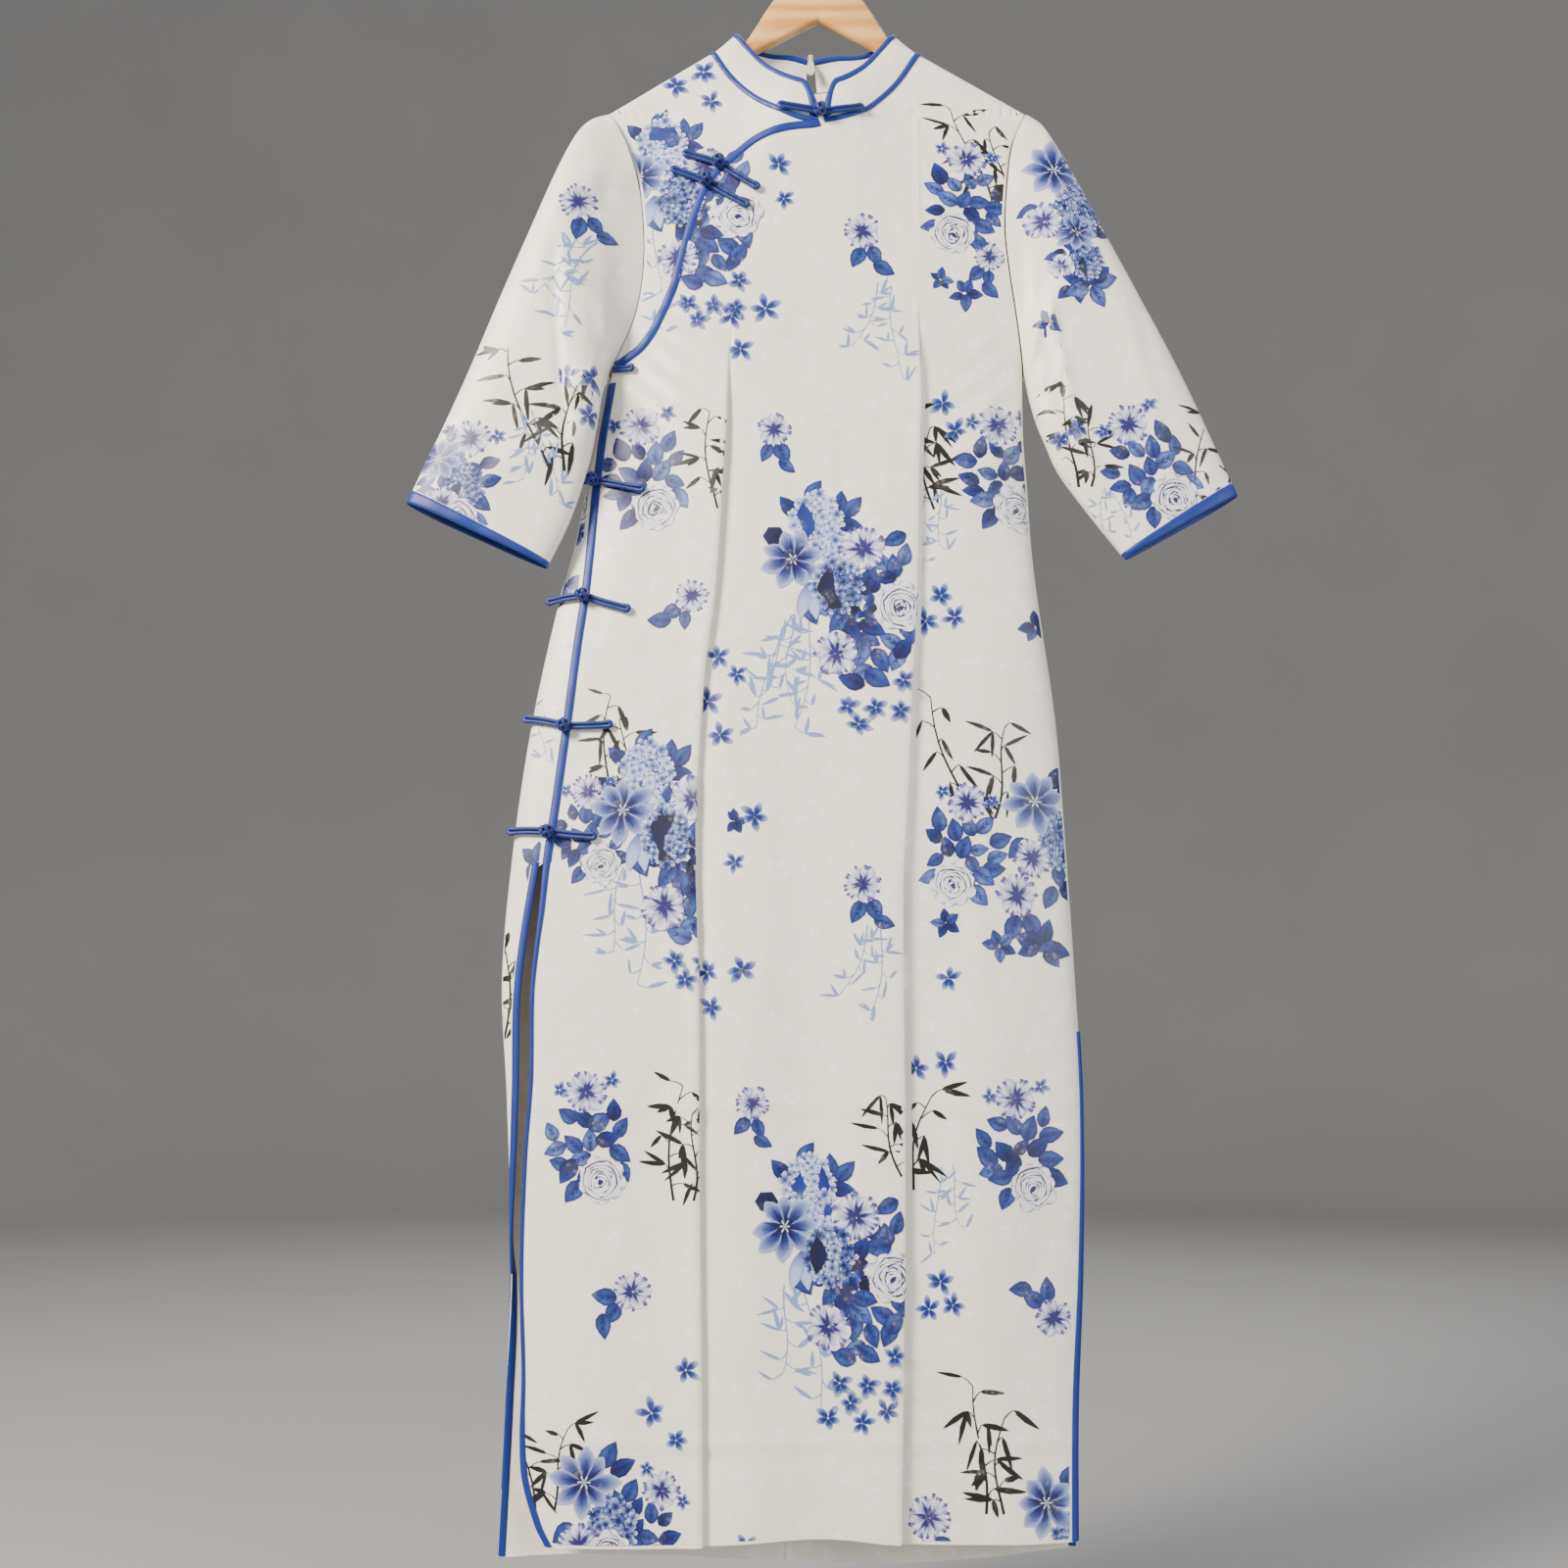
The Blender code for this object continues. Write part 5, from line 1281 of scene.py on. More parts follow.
def hanger():
    """Contoured wood: rounded sections set along its width, its ends rounded over."""
    sections = []
    half, count = HANGER_THICKNESS / 2, 120
    for i in range(count + 1):
        x = HANGER_HALF_WIDTH * math.sin(math.pi * (i / count - 0.5))
        x = blend(x, HANGER_HALF_WIDTH * (2 * i / count - 1), 0.75)
        top, bottom = hanger_top(x), HANGER_LOWER.at(abs(x), "z")
        to_end = (HANGER_HALF_WIDTH - abs(x)) / 0.006
        round_over = math.sqrt(max(0.0, 1 - (1 - min(1.0, to_end))**2)) * 0.85 + 0.15
        middle = (top + bottom) / 2
        tall = (top - bottom) / 2 * round_over
        wide = half * round_over
        r = min(wide, tall)
        section = []
        for centre, start in ((middle + tall - r, 0), (middle - tall + r, math.pi)):
            for k in range(9):
                a = start + math.pi * k / 8
                section.append(Vector((x, wide * math.cos(a), centre + r * math.sin(a))))
        sections.append(section)
    points, faces = swept(sections)
    add("hanger", points, faces, WOOD, sharp=60)


def hanger_hook():
    """Wire from the top of the wood round a rail, open on the left, with a rounded tip."""
    centre_z = -HOOK_RADIUS + WIRE_RADIUS
    knots = [Vector((0, 0, z)) for z in (HANGER_PEAK_Z + SEAM_GAP, -0.080, -0.072, -0.064, -0.057)]
    knots += [Vector((0.0012, 0, -0.0505)), Vector((0.0042, 0, -0.0445))]
    for i in range(43):
        a = math.radians(blend(-58, 200, i / 42))
        knots.append(Vector((HOOK_RADIUS * math.cos(a), 0, centre_z + HOOK_RADIUS * math.sin(a))))
    radii = [WIRE_RADIUS] * (len(knots) - 1) + [WIRE_RADIUS * 0.7]
    wire = swept(cord_sections(knots, [Vector((0, -1, 0))] * len(knots), radii, around=16))
    rings = [(0.0, 0.0036), (0.0012, 0.0040), (0.0026, 0.0038), (0.0034, 0.0027)]
    bottom = Vector((0, 0, HANGER_PEAK_Z))
    collar_path = [bottom + Vector((0, 0, h)) for h, _ in rings]
    ferrule = swept(cord_sections(collar_path, [Vector((0, -1, 0))] * 4, [r for _, r in rings],
                                  around=20))
    points, faces = joined(wire, ferrule)
    add("hanger_hook", points, faces, WIRE)


# Print: flowers, leaves and bamboo, drawn as thin coloured shapes that lie on the cloth

PAINT = {name: linear(code)[:3] for name, code in (
    ("ink", "03062A"), ("navy", "070D48"), ("royal", "0C2072"), ("blue", "1B3690"), ("sky", "5A78C4"),
    ("pale", "A4B6E6"), ("mist", "D8E1F8"), ("white", "F8F7F4"), ("violet", "221B66"),
    ("steel", "3452A2"), ("lilac", "746CBC"), ("grey", "BAC0E2"), ("black", "0B0B08"),
    ("reed", "7A96CE"))}


def tint(a, b, t):
    return tuple(blend(p, q, t) for p, q in zip(a, b))


class Pen:
    """Draws shapes on the flat, x to the right and y down, in pixels of the photo."""

    def __init__(self, book, x, y, turn=0.0, size=1.0, side=1):
        self.book, self.x, self.y, self.turn, self.size, self.side = book, x, y, turn, size, side

    def put(self, x, y):
        c, s = math.cos(self.turn) * self.size, math.sin(self.turn) * self.size
        return self.x + c * x * self.side - s * y, self.y + s * x * self.side + c * y

    def at(self, x, y, turn=0.0, size=1.0, side=1):
        x, y = self.put(x, y)
        return Pen(self.book, x, y, self.turn + self.side * math.radians(turn), self.size * size,
                   self.side * side)

    def shape(self, rows, layer=None):
        """Keeps a grid of places and colours, on top of all before it unless a layer is named."""
        if layer is None:
            self.book["layer"] += 1
            layer = self.book["layer"]
        self.book["shapes"].append((layer, [[(*self.put(x, y), c) for x, y, c in row]
                                            for row in rows]))

    def petal(self, length, width, colours, widest=0.5, blunt=1.0, vein=None, rim=None, bend=0.0,
              dusk=0.0, fine=6, layer=None):
        """Petal or leaf along x from this place; dusk darkens one half."""
        base, middle, tip = (PAINT[c] for c in colours)
        power = math.log(0.5) / math.log(widest)
        rows = []
        for i in range(fine + 1):
            t = (1 - math.cos(math.pi * i / fine)) / 2
            half = width / 2 * max(0.02, math.sin(math.pi * t**power))**blunt
            ground = tint(base, middle, 2 * t) if t < 0.5 else tint(middle, tip, 2 * t - 1)
            row = []
            for j in (-1, -0.55, 0, 0.55, 1) if fine > 4 else (-1, 0, 1):
                colour = tint(ground, PAINT["navy"], dusk) if j > 0 else ground
                if vein and j == 0:
                    colour = tint(colour, PAINT[vein], 0.85 * (1 - t**2))
                if rim and abs(j) == 1:
                    colour = tint(colour, PAINT[rim], 0.75)
                row.append((length * t, half * j + bend * length * t * t, colour))
            rows.append(row)
        self.shape(rows, layer)

    def disc(self, wide, tall, colour, edge=None, layer=None):
        inner, outer = PAINT[colour], PAINT[edge or colour]
        small = max(wide, tall) * self.size < 2.5
        count, radii = (6, (0.001, 1.0)) if small else (16, (0.001, 0.25, 0.5, 0.75, 1.0))
        turns = [2 * math.pi * k / count for k in range(count + 1)]
        rows = [[(wide * r * math.cos(a), tall * r * math.sin(a), tint(inner, outer, r**3))
                 for a in turns] for r in radii]
        self.shape(rows, layer)

    def stroke(self, path, width, colour, end=0.35, layer=None):
        rows, count = [], len(path) - 1
        for i, (x, y) in enumerate(path):
            (xa, ya), (xb, yb) = path[max(i - 1, 0)], path[min(i + 1, count)]
            far = math.hypot(xb - xa, yb - ya)
            half = width / 2 * blend(1, end, i / count)
            dx, dy = -(yb - ya) / far * half, (xb - xa) / far * half
            rows.append([(x - dx, y - dy, PAINT[colour]), (x + dx, y + dy, PAINT[colour])])
        self.shape(rows, layer)

    def arc(self, radius, thick, start, span, colours, layer=None):
        """Curved rim of a petal round this place, thinner at its ends; colours run outwards."""
        rows = []
        for i in range(9):
            turn = start + span * (i / 8 - 0.5)
            wide = thick * math.sin(math.pi * (i + 0.25) / 8.5)**0.5
            rows.append([((radius - wide * (1 - k / 3)) * math.cos(turn),
                          (radius - wide * (1 - k / 3)) * math.sin(turn), PAINT[colour])
                         for k, colour in enumerate(colours)])
        self.shape(rows, layer)


def leaf(pen, length, width, tone, pick, layer=None):
    """Pointed leaf with a dark midrib and rim, paler between them."""
    colours, dark = {"mid": (("royal", "steel", "royal"), "navy"),
                     "dark": (("navy", "royal", "blue"), "ink"),
                     "soft": (("royal", "sky", "blue"), "navy")}[tone]
    foot = pen.at(-length / 2, 0)
    layer = pen.book["layer"] + 1 if layer is None else layer
    foot.petal(length, width, colours, 0.40, 0.85, dark, dark, pick.uniform(-0.12, 0.12),
               0.35 if tone == "mid" else 0.15, layer=layer)
    for turn in (-30, 26):
        for at in (0.28, 0.50):
            foot.at(length * at, 0, turn).petal(width * 0.42, 1.3, (dark, dark, "blue"), 0.3, fine=3,
                                                layer=layer + 1)
    pen.book["layer"] = max(pen.book["layer"], layer + 1)


def leafage(pen, places, small, large, tones, pick):
    """Leaves at places given as x, y and turn; neighbours lie on different layers."""
    first = pen.book["layer"]
    for i, (x, y, turn) in enumerate(places):
        length = pick.uniform(small, large)
        leaf(pen.at(x, y, turn), length, length * pick.uniform(0.62, 0.74), pick.choice(tones), pick,
             first + 1 + 2 * (i % 5))


def soft_flower(pen, radius, pick):
    """Five ruffled white petals with dark violet veins and fringed violet rims."""
    start, turns = pick.uniform(0, 72), []
    for k in range(5):
        turns.append(start + 72 * k + pick.uniform(-8, 8))
        pen.at(0, 0, turns[-1]).petal(
            radius * pick.uniform(0.86, 1.08), radius * 0.98, ("violet", "mist", "white"), 0.64, 0.5,
            "violet", "lilac", pick.uniform(-0.08, 0.08), 0.10)
    first = pen.book["layer"]
    for turn in turns:
        for k in range(4):
            away = turn + pick.uniform(-30, 30)
            c, s = math.cos(math.radians(away)), math.sin(math.radians(away))
            far = radius * pick.uniform(0.52, 0.66)
            pen.at(far * c, far * s, away).petal(radius * 0.44, radius * 0.20,
                                                 ("mist", "lilac", "violet"), 0.78, 1.0, fine=4,
                                                 layer=first + 1 + k % 2)
    for k in range(10):
        reach = radius * pick.uniform(0.50, 0.86)
        pen.at(0, 0, start + 36 * k + pick.uniform(-12, 12)).petal(
            reach, radius * 0.18, ("violet", "violet", "lilac"), 0.34, 1.0,
            bend=pick.uniform(-0.2, 0.2), fine=4, layer=first + 3)
    pen.disc(radius * 0.11, radius * 0.11, "white", "lilac")


def lily(pen, radius, pick):
    """Eight pointed blue petals, deep at the heart and pale at the rims."""
    start = pick.uniform(0, 45)
    for k in (0, 2, 4, 6, 1, 3, 5, 7):
        pen.at(0, 0, start + 45 * k + pick.uniform(-7, 7)).petal(
            radius * pick.uniform(0.84, 1.1), radius * 0.50, ("navy", "blue", "pale"), 0.60, 0.85,
            "navy", "pale", pick.uniform(-0.14, 0.14), 0.12, 7)
    for k in range(8):
        pen.at(0, 0, start + 45 * k + 8).petal(radius * 0.66, radius * 0.12, ("ink", "navy", "blue"),
                                               0.35, 1.0, fine=4, layer=pen.book["layer"] + k % 2)
    for k in range(6):
        pen.at(0, 0, 60 * k).petal(radius * 0.20, radius * 0.06, ("mist", "pale", "white"), 0.6,
                                   fine=4, layer=pen.book["layer"] + 2)
    pen.book["layer"] += 2


GOLDEN_TURN = 2.39996


def hydrangea(pen, wide, tall, tone, count, pick):
    """Ball of small four-petalled florets over a darker ground."""
    ground, deep, colours = {
        "pale": ("blue", "royal", (("royal", "sky", "mist"), ("blue", "pale", "mist"),
                                   ("lilac", "pale", "white"))),
        "dark": ("navy", "ink", (("navy", "blue", "pale"), ("navy", "sky", "mist"),
                                 ("ink", "royal", "sky")))}[tone]
    pen.disc(wide * 0.96, tall * 0.96, ground, deep)
    first = pen.book["layer"] + 6
    for i in range(count):
        far, turn = math.sqrt((i + 0.6) / count), i * GOLDEN_TURN
        where = pen.at(wide * far * math.cos(turn), tall * far * math.sin(turn), pick.uniform(0, 90),
                       pick.uniform(0.85, 1.15))
        shade = colours[pick.randrange(3)]
        for k in range(4):
            where.at(0, 0, 90 * k).petal(6.6, 6.0, shade, 0.62, 0.6, fine=3, layer=first + i % 6)
        where.disc(0.8, 0.8, "navy" if tone == "dark" else "blue", layer=first + 7)
    pen.book["layer"] = first + 7


def rose(pen, radius, pick):
    """Full rose: ruffled outer petals, then white rims with violet shade between them."""
    for k in range(9):
        pen.at(0, 0, 40 * k + pick.uniform(-8, 8)).petal(
            radius * pick.uniform(0.98, 1.16), radius * 0.72, ("violet", "mist", "white"), 0.76, 0.5,
            None, "violet", pick.uniform(-0.08, 0.08), 0.10)
    for share, count in ((0.92, 5), (0.80, 5), (0.68, 4), (0.56, 4), (0.45, 3), (0.34, 3), (0.23, 2)):
        start = pick.uniform(0, FULL_TURN)
        pen.book["layer"] += 1
        for k in range(count):
            span = 6.9 / count * pick.uniform(0.85, 1.1)
            pen.at(0, radius * 0.16 * (1 - share)).arc(
                radius * share * pick.uniform(0.96, 1.05), radius * 0.21,
                start + FULL_TURN * k / count, span, ("ink", "violet", "white", "mist"),
                pen.book["layer"] + k % 2)
        pen.book["layer"] += 1
    pen.at(0, radius * 0.14).disc(radius * 0.15, radius * 0.13, "navy", "violet")
    pen.at(0, radius * 0.14).arc(radius * 0.12, radius * 0.06, 0.8, 2.4, ("violet", "mist", "white",
                                                                           "mist"))


def dark_buds(pen, wide, tall, count, pick):
    first = pen.book["layer"]
    for i in range(count):
        far, turn = math.sqrt(pick.random()), pick.uniform(0, FULL_TURN)
        colours = pick.choice((("ink", "navy", "royal"), ("ink", "ink", "navy"),
                               ("navy", "royal", "sky")))
        pen.at(wide * far * math.cos(turn), tall * far * math.sin(turn), pick.uniform(0, 360)).petal(
            pick.uniform(9, 14), pick.uniform(7, 10), colours, 0.5, 0.6, layer=first + 1 + i % 8)
    pen.book["layer"] = first + 8


def pinwheel(pen, radius, pick):
    """Small star of five narrow blue petals with pale edges."""
    start = pick.uniform(0, 72)
    for k in range(5):
        pen.at(0, 0, start + 72 * k + pick.uniform(-9, 9)).petal(
            radius * pick.uniform(0.85, 1.2), radius * 0.54, ("navy", "blue", "pale"), 0.55, 0.8,
            "navy", "sky", pick.uniform(-0.22, 0.22))
    pen.disc(1.5, 1.5, "mist", "sky")


def bamboo(pen, colour, tall, leaf_size, pick):
    """Two thin jointed stems with pointed leaves, growing up from this place."""
    first = pen.book["layer"]
    for number in range(2):
        lean = pick.uniform(-0.22, 0.22) + (number - 0.5) * 0.25
        high = tall * (1 - 0.25 * number)
        foot, curl = (number - 0.5) * 16, pick.uniform(0, 3)
        path = [(foot + lean * high * t + 6 * math.sin(4 * t + curl), -high * t)
                for t in (i / 8 for i in range(9))]
        pen.stroke(path, 2.4 if colour == "black" else 1.4, colour, 0.35, first + 1)
        for i in range(1, 9):
            x, y = path[i]
            way = 1 if (i + number) % 2 else -1
            tip = (x + way * pick.uniform(3, 12), y - pick.uniform(2, 9))
            pen.stroke([(x, y), ((x + tip[0]) / 2, (y + tip[1]) / 2 - 1), tip], 1.2, colour, 0.5,
                       first + 2)
            for k in range(pick.choice((1, 1, 2, 3))):
                turn = pick.uniform(-30, 105)
                pen.at(*tip, turn if way > 0 else 180 - turn, leaf_size).petal(
                    pick.uniform(15, 33), pick.uniform(3.8, 6.2), (colour,) * 3, 0.40, 0.75,
                    bend=pick.uniform(-0.10, 0.10), fine=4, layer=first + 3 + (i + k) % 6)
    pen.book["layer"] = first + 9


def reeds(pen, pick):
    """Pale hanging bamboo."""
    bamboo(pen.at(0, 0, 180), "reed", 115, 0.75, pick)


def bouquet(pen, pick):
    """Large bunch: lily, two hydrangeas, open flowers and a rose over leaves."""
    reeds(pen.at(-28, 40, 8), pick)
    for x, y, turn, tone in ((-46, -77, -130, "dark"), (-19, -93, -48, "mid"), (7, -80, -88, "mid"),
                             (21, -76, -50, "mid"), (17, -57, 5, "dark"), (63, -40, 150, "mid")):
        leaf(pen.at(x, y, turn), 27, 17, tone, pick)
    pen.at(-60, -45).disc(12, 11, "ink", "navy")
    dark_buds(pen.at(20, 30), 24, 26, 40, pick)
    leafage(pen, ((50, -16, 20), (62, -12, -100), (74, -24, -70), (53, 1, 170), (-22, 36, 60),
                  (20, 55, 70), (36, 66, 40), (58, 66, -140), (70, 74, -60), (48, 87, 60),
                  (64, 86, 110), (28, 80, 100), (29, 100, 150), (44, 106, 30), (18, 108, 200),
                  (6, 48, 120), (-12, 30, 200), (76, 56, 80), (36, 2, -60), (40, 52, 20)), 24, 30,
            ("mid", "mid", "soft", "dark"), pick)
    hydrangea(pen.at(-17, -60), 25, 31, "pale", 60, pick)
    hydrangea(pen.at(-4, -36), 17, 17, "pale", 26, pick)
    for turn in (55, 80, 105):
        pen.at(-24, 4, turn).petal(40, 15, ("blue", "pale", "grey"), 0.5, 0.8, rim="lilac")
    lily(pen.at(-41, -20), 35, pick)
    soft_flower(pen.at(31, -30), 24, pick)
    hydrangea(pen.at(4, 9), 23, 28, "dark", 56, pick)
    rose(pen.at(69, 30), 25, pick)
    soft_flower(pen.at(3, 79), 23, pick)
    for x, y in ((14, 134), (42, 136), (67, 139), (25, 153), (70, 108)):
        pinwheel(pen.at(x, y), 12, pick)


def cluster(pen, pick):
    """Middle bunch: open flower above, leaves, and a rose below."""
    places = ((-38, -10), (-22, -26), (-5, -24), (12, -20), (27, -32), (-34, 8), (-15, 2), (2, -2),
              (20, -2), (-20, 30), (-30, 22), (34, -14), (-8, 18), (33, 12), (-14, 50), (38, 30),
              (-2, 38))
    leafage(pen, [(x, y, math.degrees(math.atan2(y - 12, x)) + pick.uniform(-40, 40))
                  for x, y in places], 21, 29, ("mid", "mid", "soft", "dark"), pick)
    soft_flower(pen.at(-3, -50), 21, pick)
    rose(pen.at(14, 38), 23, pick)
    for x, y in ((-30, -52), (24, -62)):
        pinwheel(pen.at(x, y), 9, pick)


def flower_pair(pen, pick):
    """One open flower with two or three leaves under it."""
    leafage(pen, ((12, 24, 60), (-4, 26, 110), (20, 36, 20)), 20, 25, ("mid",), pick)
    soft_flower(pen, 17, pick)


def pinwheels(pen, pick):
    pinwheel(pen, 14, pick)


def leaves(pen, pick):
    turns = [72 * k + pick.uniform(-25, 25) for k in range(5)]
    leafage(pen, [(14 * math.cos(math.radians(a)), 14 * math.sin(math.radians(a)), a) for a in turns],
            22, 28, ("mid", "soft", "dark"), pick)


def half_bunch(pen, pick):
    """The lily side of the large bunch, with one hydrangea and leaves."""
    leafage(pen, ((20, -40, -60), (34, -28, -20), (-6, 46, 100), (20, 62, 80), (34, 48, 30),
                  (30, 78, 60), (10, 84, 110), (-24, 34, 140)), 24, 30, ("mid", "dark"), pick)
    hydrangea(pen.at(24, 26), 22, 27, "dark", 52, pick)
    lily(pen.at(-4, -14), 34, pick)
    soft_flower(pen.at(-8, 44), 20, pick)


def stalk(pen, pick):
    bamboo(pen, "black", 105, 0.9, pick)


DRAWN = {"bouquet": bouquet, "cluster": cluster, "pair": flower_pair, "star": pinwheels,
         "leaves": leaves, "half": half_bunch, "stalk": stalk, "reeds": reeds}

# Where each motif is seen, by the stretches of cloth it is printed on: its kind, its pixel in
# the picture, and, where they aren't 0, 1 and 1, its turn in degrees, size and side
MOTIFS = (
    ("middle", (("bouquet", 850, 590), ("bouquet", 842, 1272), ("pair", 790, 438, 10),
        ("pair", 880, 236, 0, 1.1), ("reeds", 905, 290, 12, 0.8), ("pair", 880, 902, 0, 1.1),
        ("reeds", 895, 945, 8, 0.8), ("pair", 768, 1125, 15), ("stalk", 930, 1200, 0, 1.0, -1),
        ("leaves", 750, 838, 0, 0.5))),
    ("left middle", (("leaves", 748, 216, 20, 0.9),)),
    ("shoulder left", (("bouquet", 690, 196, 0, 0.92),)),
    ("shoulder", (("star", 690, 88), ("star", 718, 74), ("star", 726, 104, 0, 0.9))),
    ("middle", (("star", 795, 168), ("star", 800, 203, 0, 0.8))),
    ("left", (("bouquet", 676, 846), ("cluster", 656, 482), ("stalk", 736, 520),
        ("stalk", 625, 812))),
    ("left wrap", (("cluster", 602, 850, 0, 0.85),)),
    ("left", (("cluster", 600, 1165), ("stalk", 694, 1225, 0, 1.1),
        ("pair", 706, 608, 25, 1.0, -1), ("pair", 645, 1318, 70, 1.1),
        ("half", 600, 1528, 0, 1.05), ("cluster", 650, 1560, 30, 0.9, -1), ("stalk", 552, 1540),
        ("star", 700, 1398), ("star", 665, 1442, 0, 1.1), ("star", 690, 1470, 0, 0.9))),
    ("middle", (("star", 747, 322), ("star", 781, 315, 0, 1.1), ("star", 755, 356),
        ("star", 733, 670, 0, 0.9), ("star", 752, 688, 0, 0.8), ("star", 722, 716, 0, 1.1),
        ("star", 735, 750), ("star", 770, 833, 0, 1.1), ("star", 750, 880, 0, 0.8),
        ("star", 722, 992, 0, 0.9), ("star", 757, 990, 0, 1.1), ("star", 726, 1028, 0, 0.9),
        ("reeds", 800, 640, 0, 0.9, -1), ("star", 845, 1447), ("star", 880, 1452, 0, 0.9),
        ("star", 905, 1440, 0, 0.9), ("star", 760, 1578, 0, 0.9))),
    ("right", (("star", 960, 608), ("star", 945, 634), ("star", 974, 630, 0, 0.9),
        ("star", 960, 1308), ("star", 948, 1336, 0, 0.9), ("star", 972, 1332, 0, 0.9),
        ("cluster", 1022, 482), ("star", 962, 412), ("star", 975, 440),
        ("stalk", 942, 520, 0, 1.1), ("reeds", 950, 500, -10, 0.7, -1),
        ("leaves", 1056, 640, 40, 0.7), ("half", 1060, 832), ("leaves", 1064, 965, 0, 1.1),
        ("cluster", 985, 866, 0, 0.95, -1), ("pair", 1038, 914, 0, 1.3),
        ("leaves", 1020, 965, 30, 0.7), ("leaves", 965, 942, 50, 0.6),
        ("stalk", 1000, 835, 0, 1.2), ("star", 968, 998, 0, 0.9), ("cluster", 1040, 1172),
        ("star", 935, 1090), ("star", 965, 1084), ("stalk", 918, 1215, 0, 1.2),
        ("reeds", 962, 1190, -12, 0.7, -1), ("pair", 1075, 1345, 160, 1.1), ("half", 1072, 1548),
        ("pair", 948, 1548, 0, 1.3), ("stalk", 1010, 1545, 0, 1.2),
        ("cluster", 985, 205, 0, 0.95, -1), ("stalk", 1015, 205), ("leaves", 985, 300, 10, 0.7),
        ("leaves", 960, 285, 60, 0.5), ("pair", 1010, 262, 30, 0.9))),
    ("wrap", (("cluster", 600, 480, 0, 1.0, -1), ("leaves", 578, 600, 20, 0.8), ("star", 590, 545),
        ("stalk", 522, 1060, 0, 1.1), ("leaves", 548, 880, 60, 0.8), ("reeds", 540, 700, 0, 0.7),
        ("leaves", 524, 1150, 0, 0.8))),
    ("sleeve_left", (("half", 1078, 186, 8), ("leaves", 1112, 290, 0, 1.1),
        ("leaves", 1070, 330, 30, 0.6), ("half", 1098, 246, 20, 0.7), ("cluster", 1172, 478, -20),
        ("stalk", 1100, 500), ("stalk", 1226, 520, 20, 0.9), ("star", 1100, 436),
        ("reeds", 1130, 500, -10, 0.5), ("star", 1082, 450, 0, 0.8))),
    ("sleeve_right", (("pair", 590, 206, -10, 1.1), ("reeds", 600, 240, 25, 0.9),
        ("stalk", 562, 480, 0, 1.2), ("star", 577, 383), ("star", 605, 386),
        ("star", 601, 424, 0, 0.9), ("cluster", 466, 492, 20, 0.95), ("reeds", 540, 420, 0, 0.8),
        ("half", 452, 478, -10, 0.8))),
)


# How far the print ends from a plain edge, from a piping's middle and from a bound edge
PRINT_MARGIN = 0.003
PIPING_MARGIN = 0.0045
BINDING_MARGIN = 0.009


def zone(first, last):
    """Gates of one strip of the front between the knife folds; a gate is positive inside."""
    def inside(x, drop):
        loose = [0.6 * max(0.0, start + 0.06 - drop) for start, _ in FOLDS]
        edges = [line.at(drop, "x") for _, line in FOLDS]
        left = x - edges[first - 1] - 0.50 * FOLD_WIDTH + loose[first - 1] if first else 1.0
        right = edges[last] + 0.38 * FOLD_WIDTH - x + loose[last] if last < 2 else 1.0
        return min(left, right)
    return inside


def in_front(x, drop):
    below = max(drop, ARMPIT_DROP)
    trim = BINDING_MARGIN if drop > SLIT_RIGHT_DROP else PRINT_MARGIN
    return min(drop - front_top(x) - PIPING_MARGIN, x - FRONT_LINE.at(below, "x") - PIPING_MARGIN,
               sides(max(drop, TIP_DROP))[1] - trim - x,
               HEM_FRONT.at(x, "drop") - PRINT_MARGIN - drop)


def in_shoulder(x, drop):
    neck = drop - max(drop_on(FRONT_NECK_LINE, x), ridge_drop(x)) - 0.004
    return min(drop_on(OPENING_LEFT, x) - 0.0025 - drop, neck, ARMPIT_DROP - 0.004 - drop,
               x - sides(max(drop, TIP_DROP))[0] - PRINT_MARGIN)


def in_wrap(x, drop):
    edge = ring(back_edge_turn(max(drop, ARMPIT_DROP)), drop).x
    trim = 0.0065 if drop < SLIT_LEFT_DROP else 0.0075
    return min(edge - trim - x, x - sides(max(drop, TIP_DROP))[0] - 0.002, drop - ARMPIT_DROP - 0.03,
               HEM_BACK.at(x, "drop") - PRINT_MARGIN - drop)


def in_back(x, drop):
    left, right = sides(max(drop, TIP_DROP))
    top = max(drop_on(BACK_NECK_LINE, x), ridge_drop(x))
    trim = BINDING_MARGIN if drop > SLIT_LEFT_DROP else PRINT_MARGIN
    return min(drop - top - 0.004, x - left - PRINT_MARGIN, right - trim - x,
               HEM_BACK.at(x, "drop") - PRINT_MARGIN - drop, abs(x - zip_line_x(drop)) - 0.0015)


def in_sleeve(s, t):
    return min(s - 0.012, 0.978 - s, 0.1 * (t - 0.006), 0.1 * (0.994 - t))


def seen_at(px, py, y_at):
    """Place under a pixel of the picture, and a pixel's size there; y_at gives the cloth's y."""
    c, s = math.cos(CAMERA_TILT), math.sin(CAMERA_TILT)
    across, up = (px - PICTURE / 2) * PIXEL, (PICTURE / 2 - py) * PIXEL
    ray = Vector((across, c - up * s, s + up * c))
    y = -0.03
    for _ in range(12):
        far = (y - CAMERA_AT[1]) / ray.y
        x, drop = CAMERA_AT[0] + far * ray.x, NECK_Z - CAMERA_AT[2] - far * ray.z
        y = blend(y, y_at(x, drop), 0.6)
    return x, drop, far * PIXEL


LATTICE = 0.003
known_depths = {}


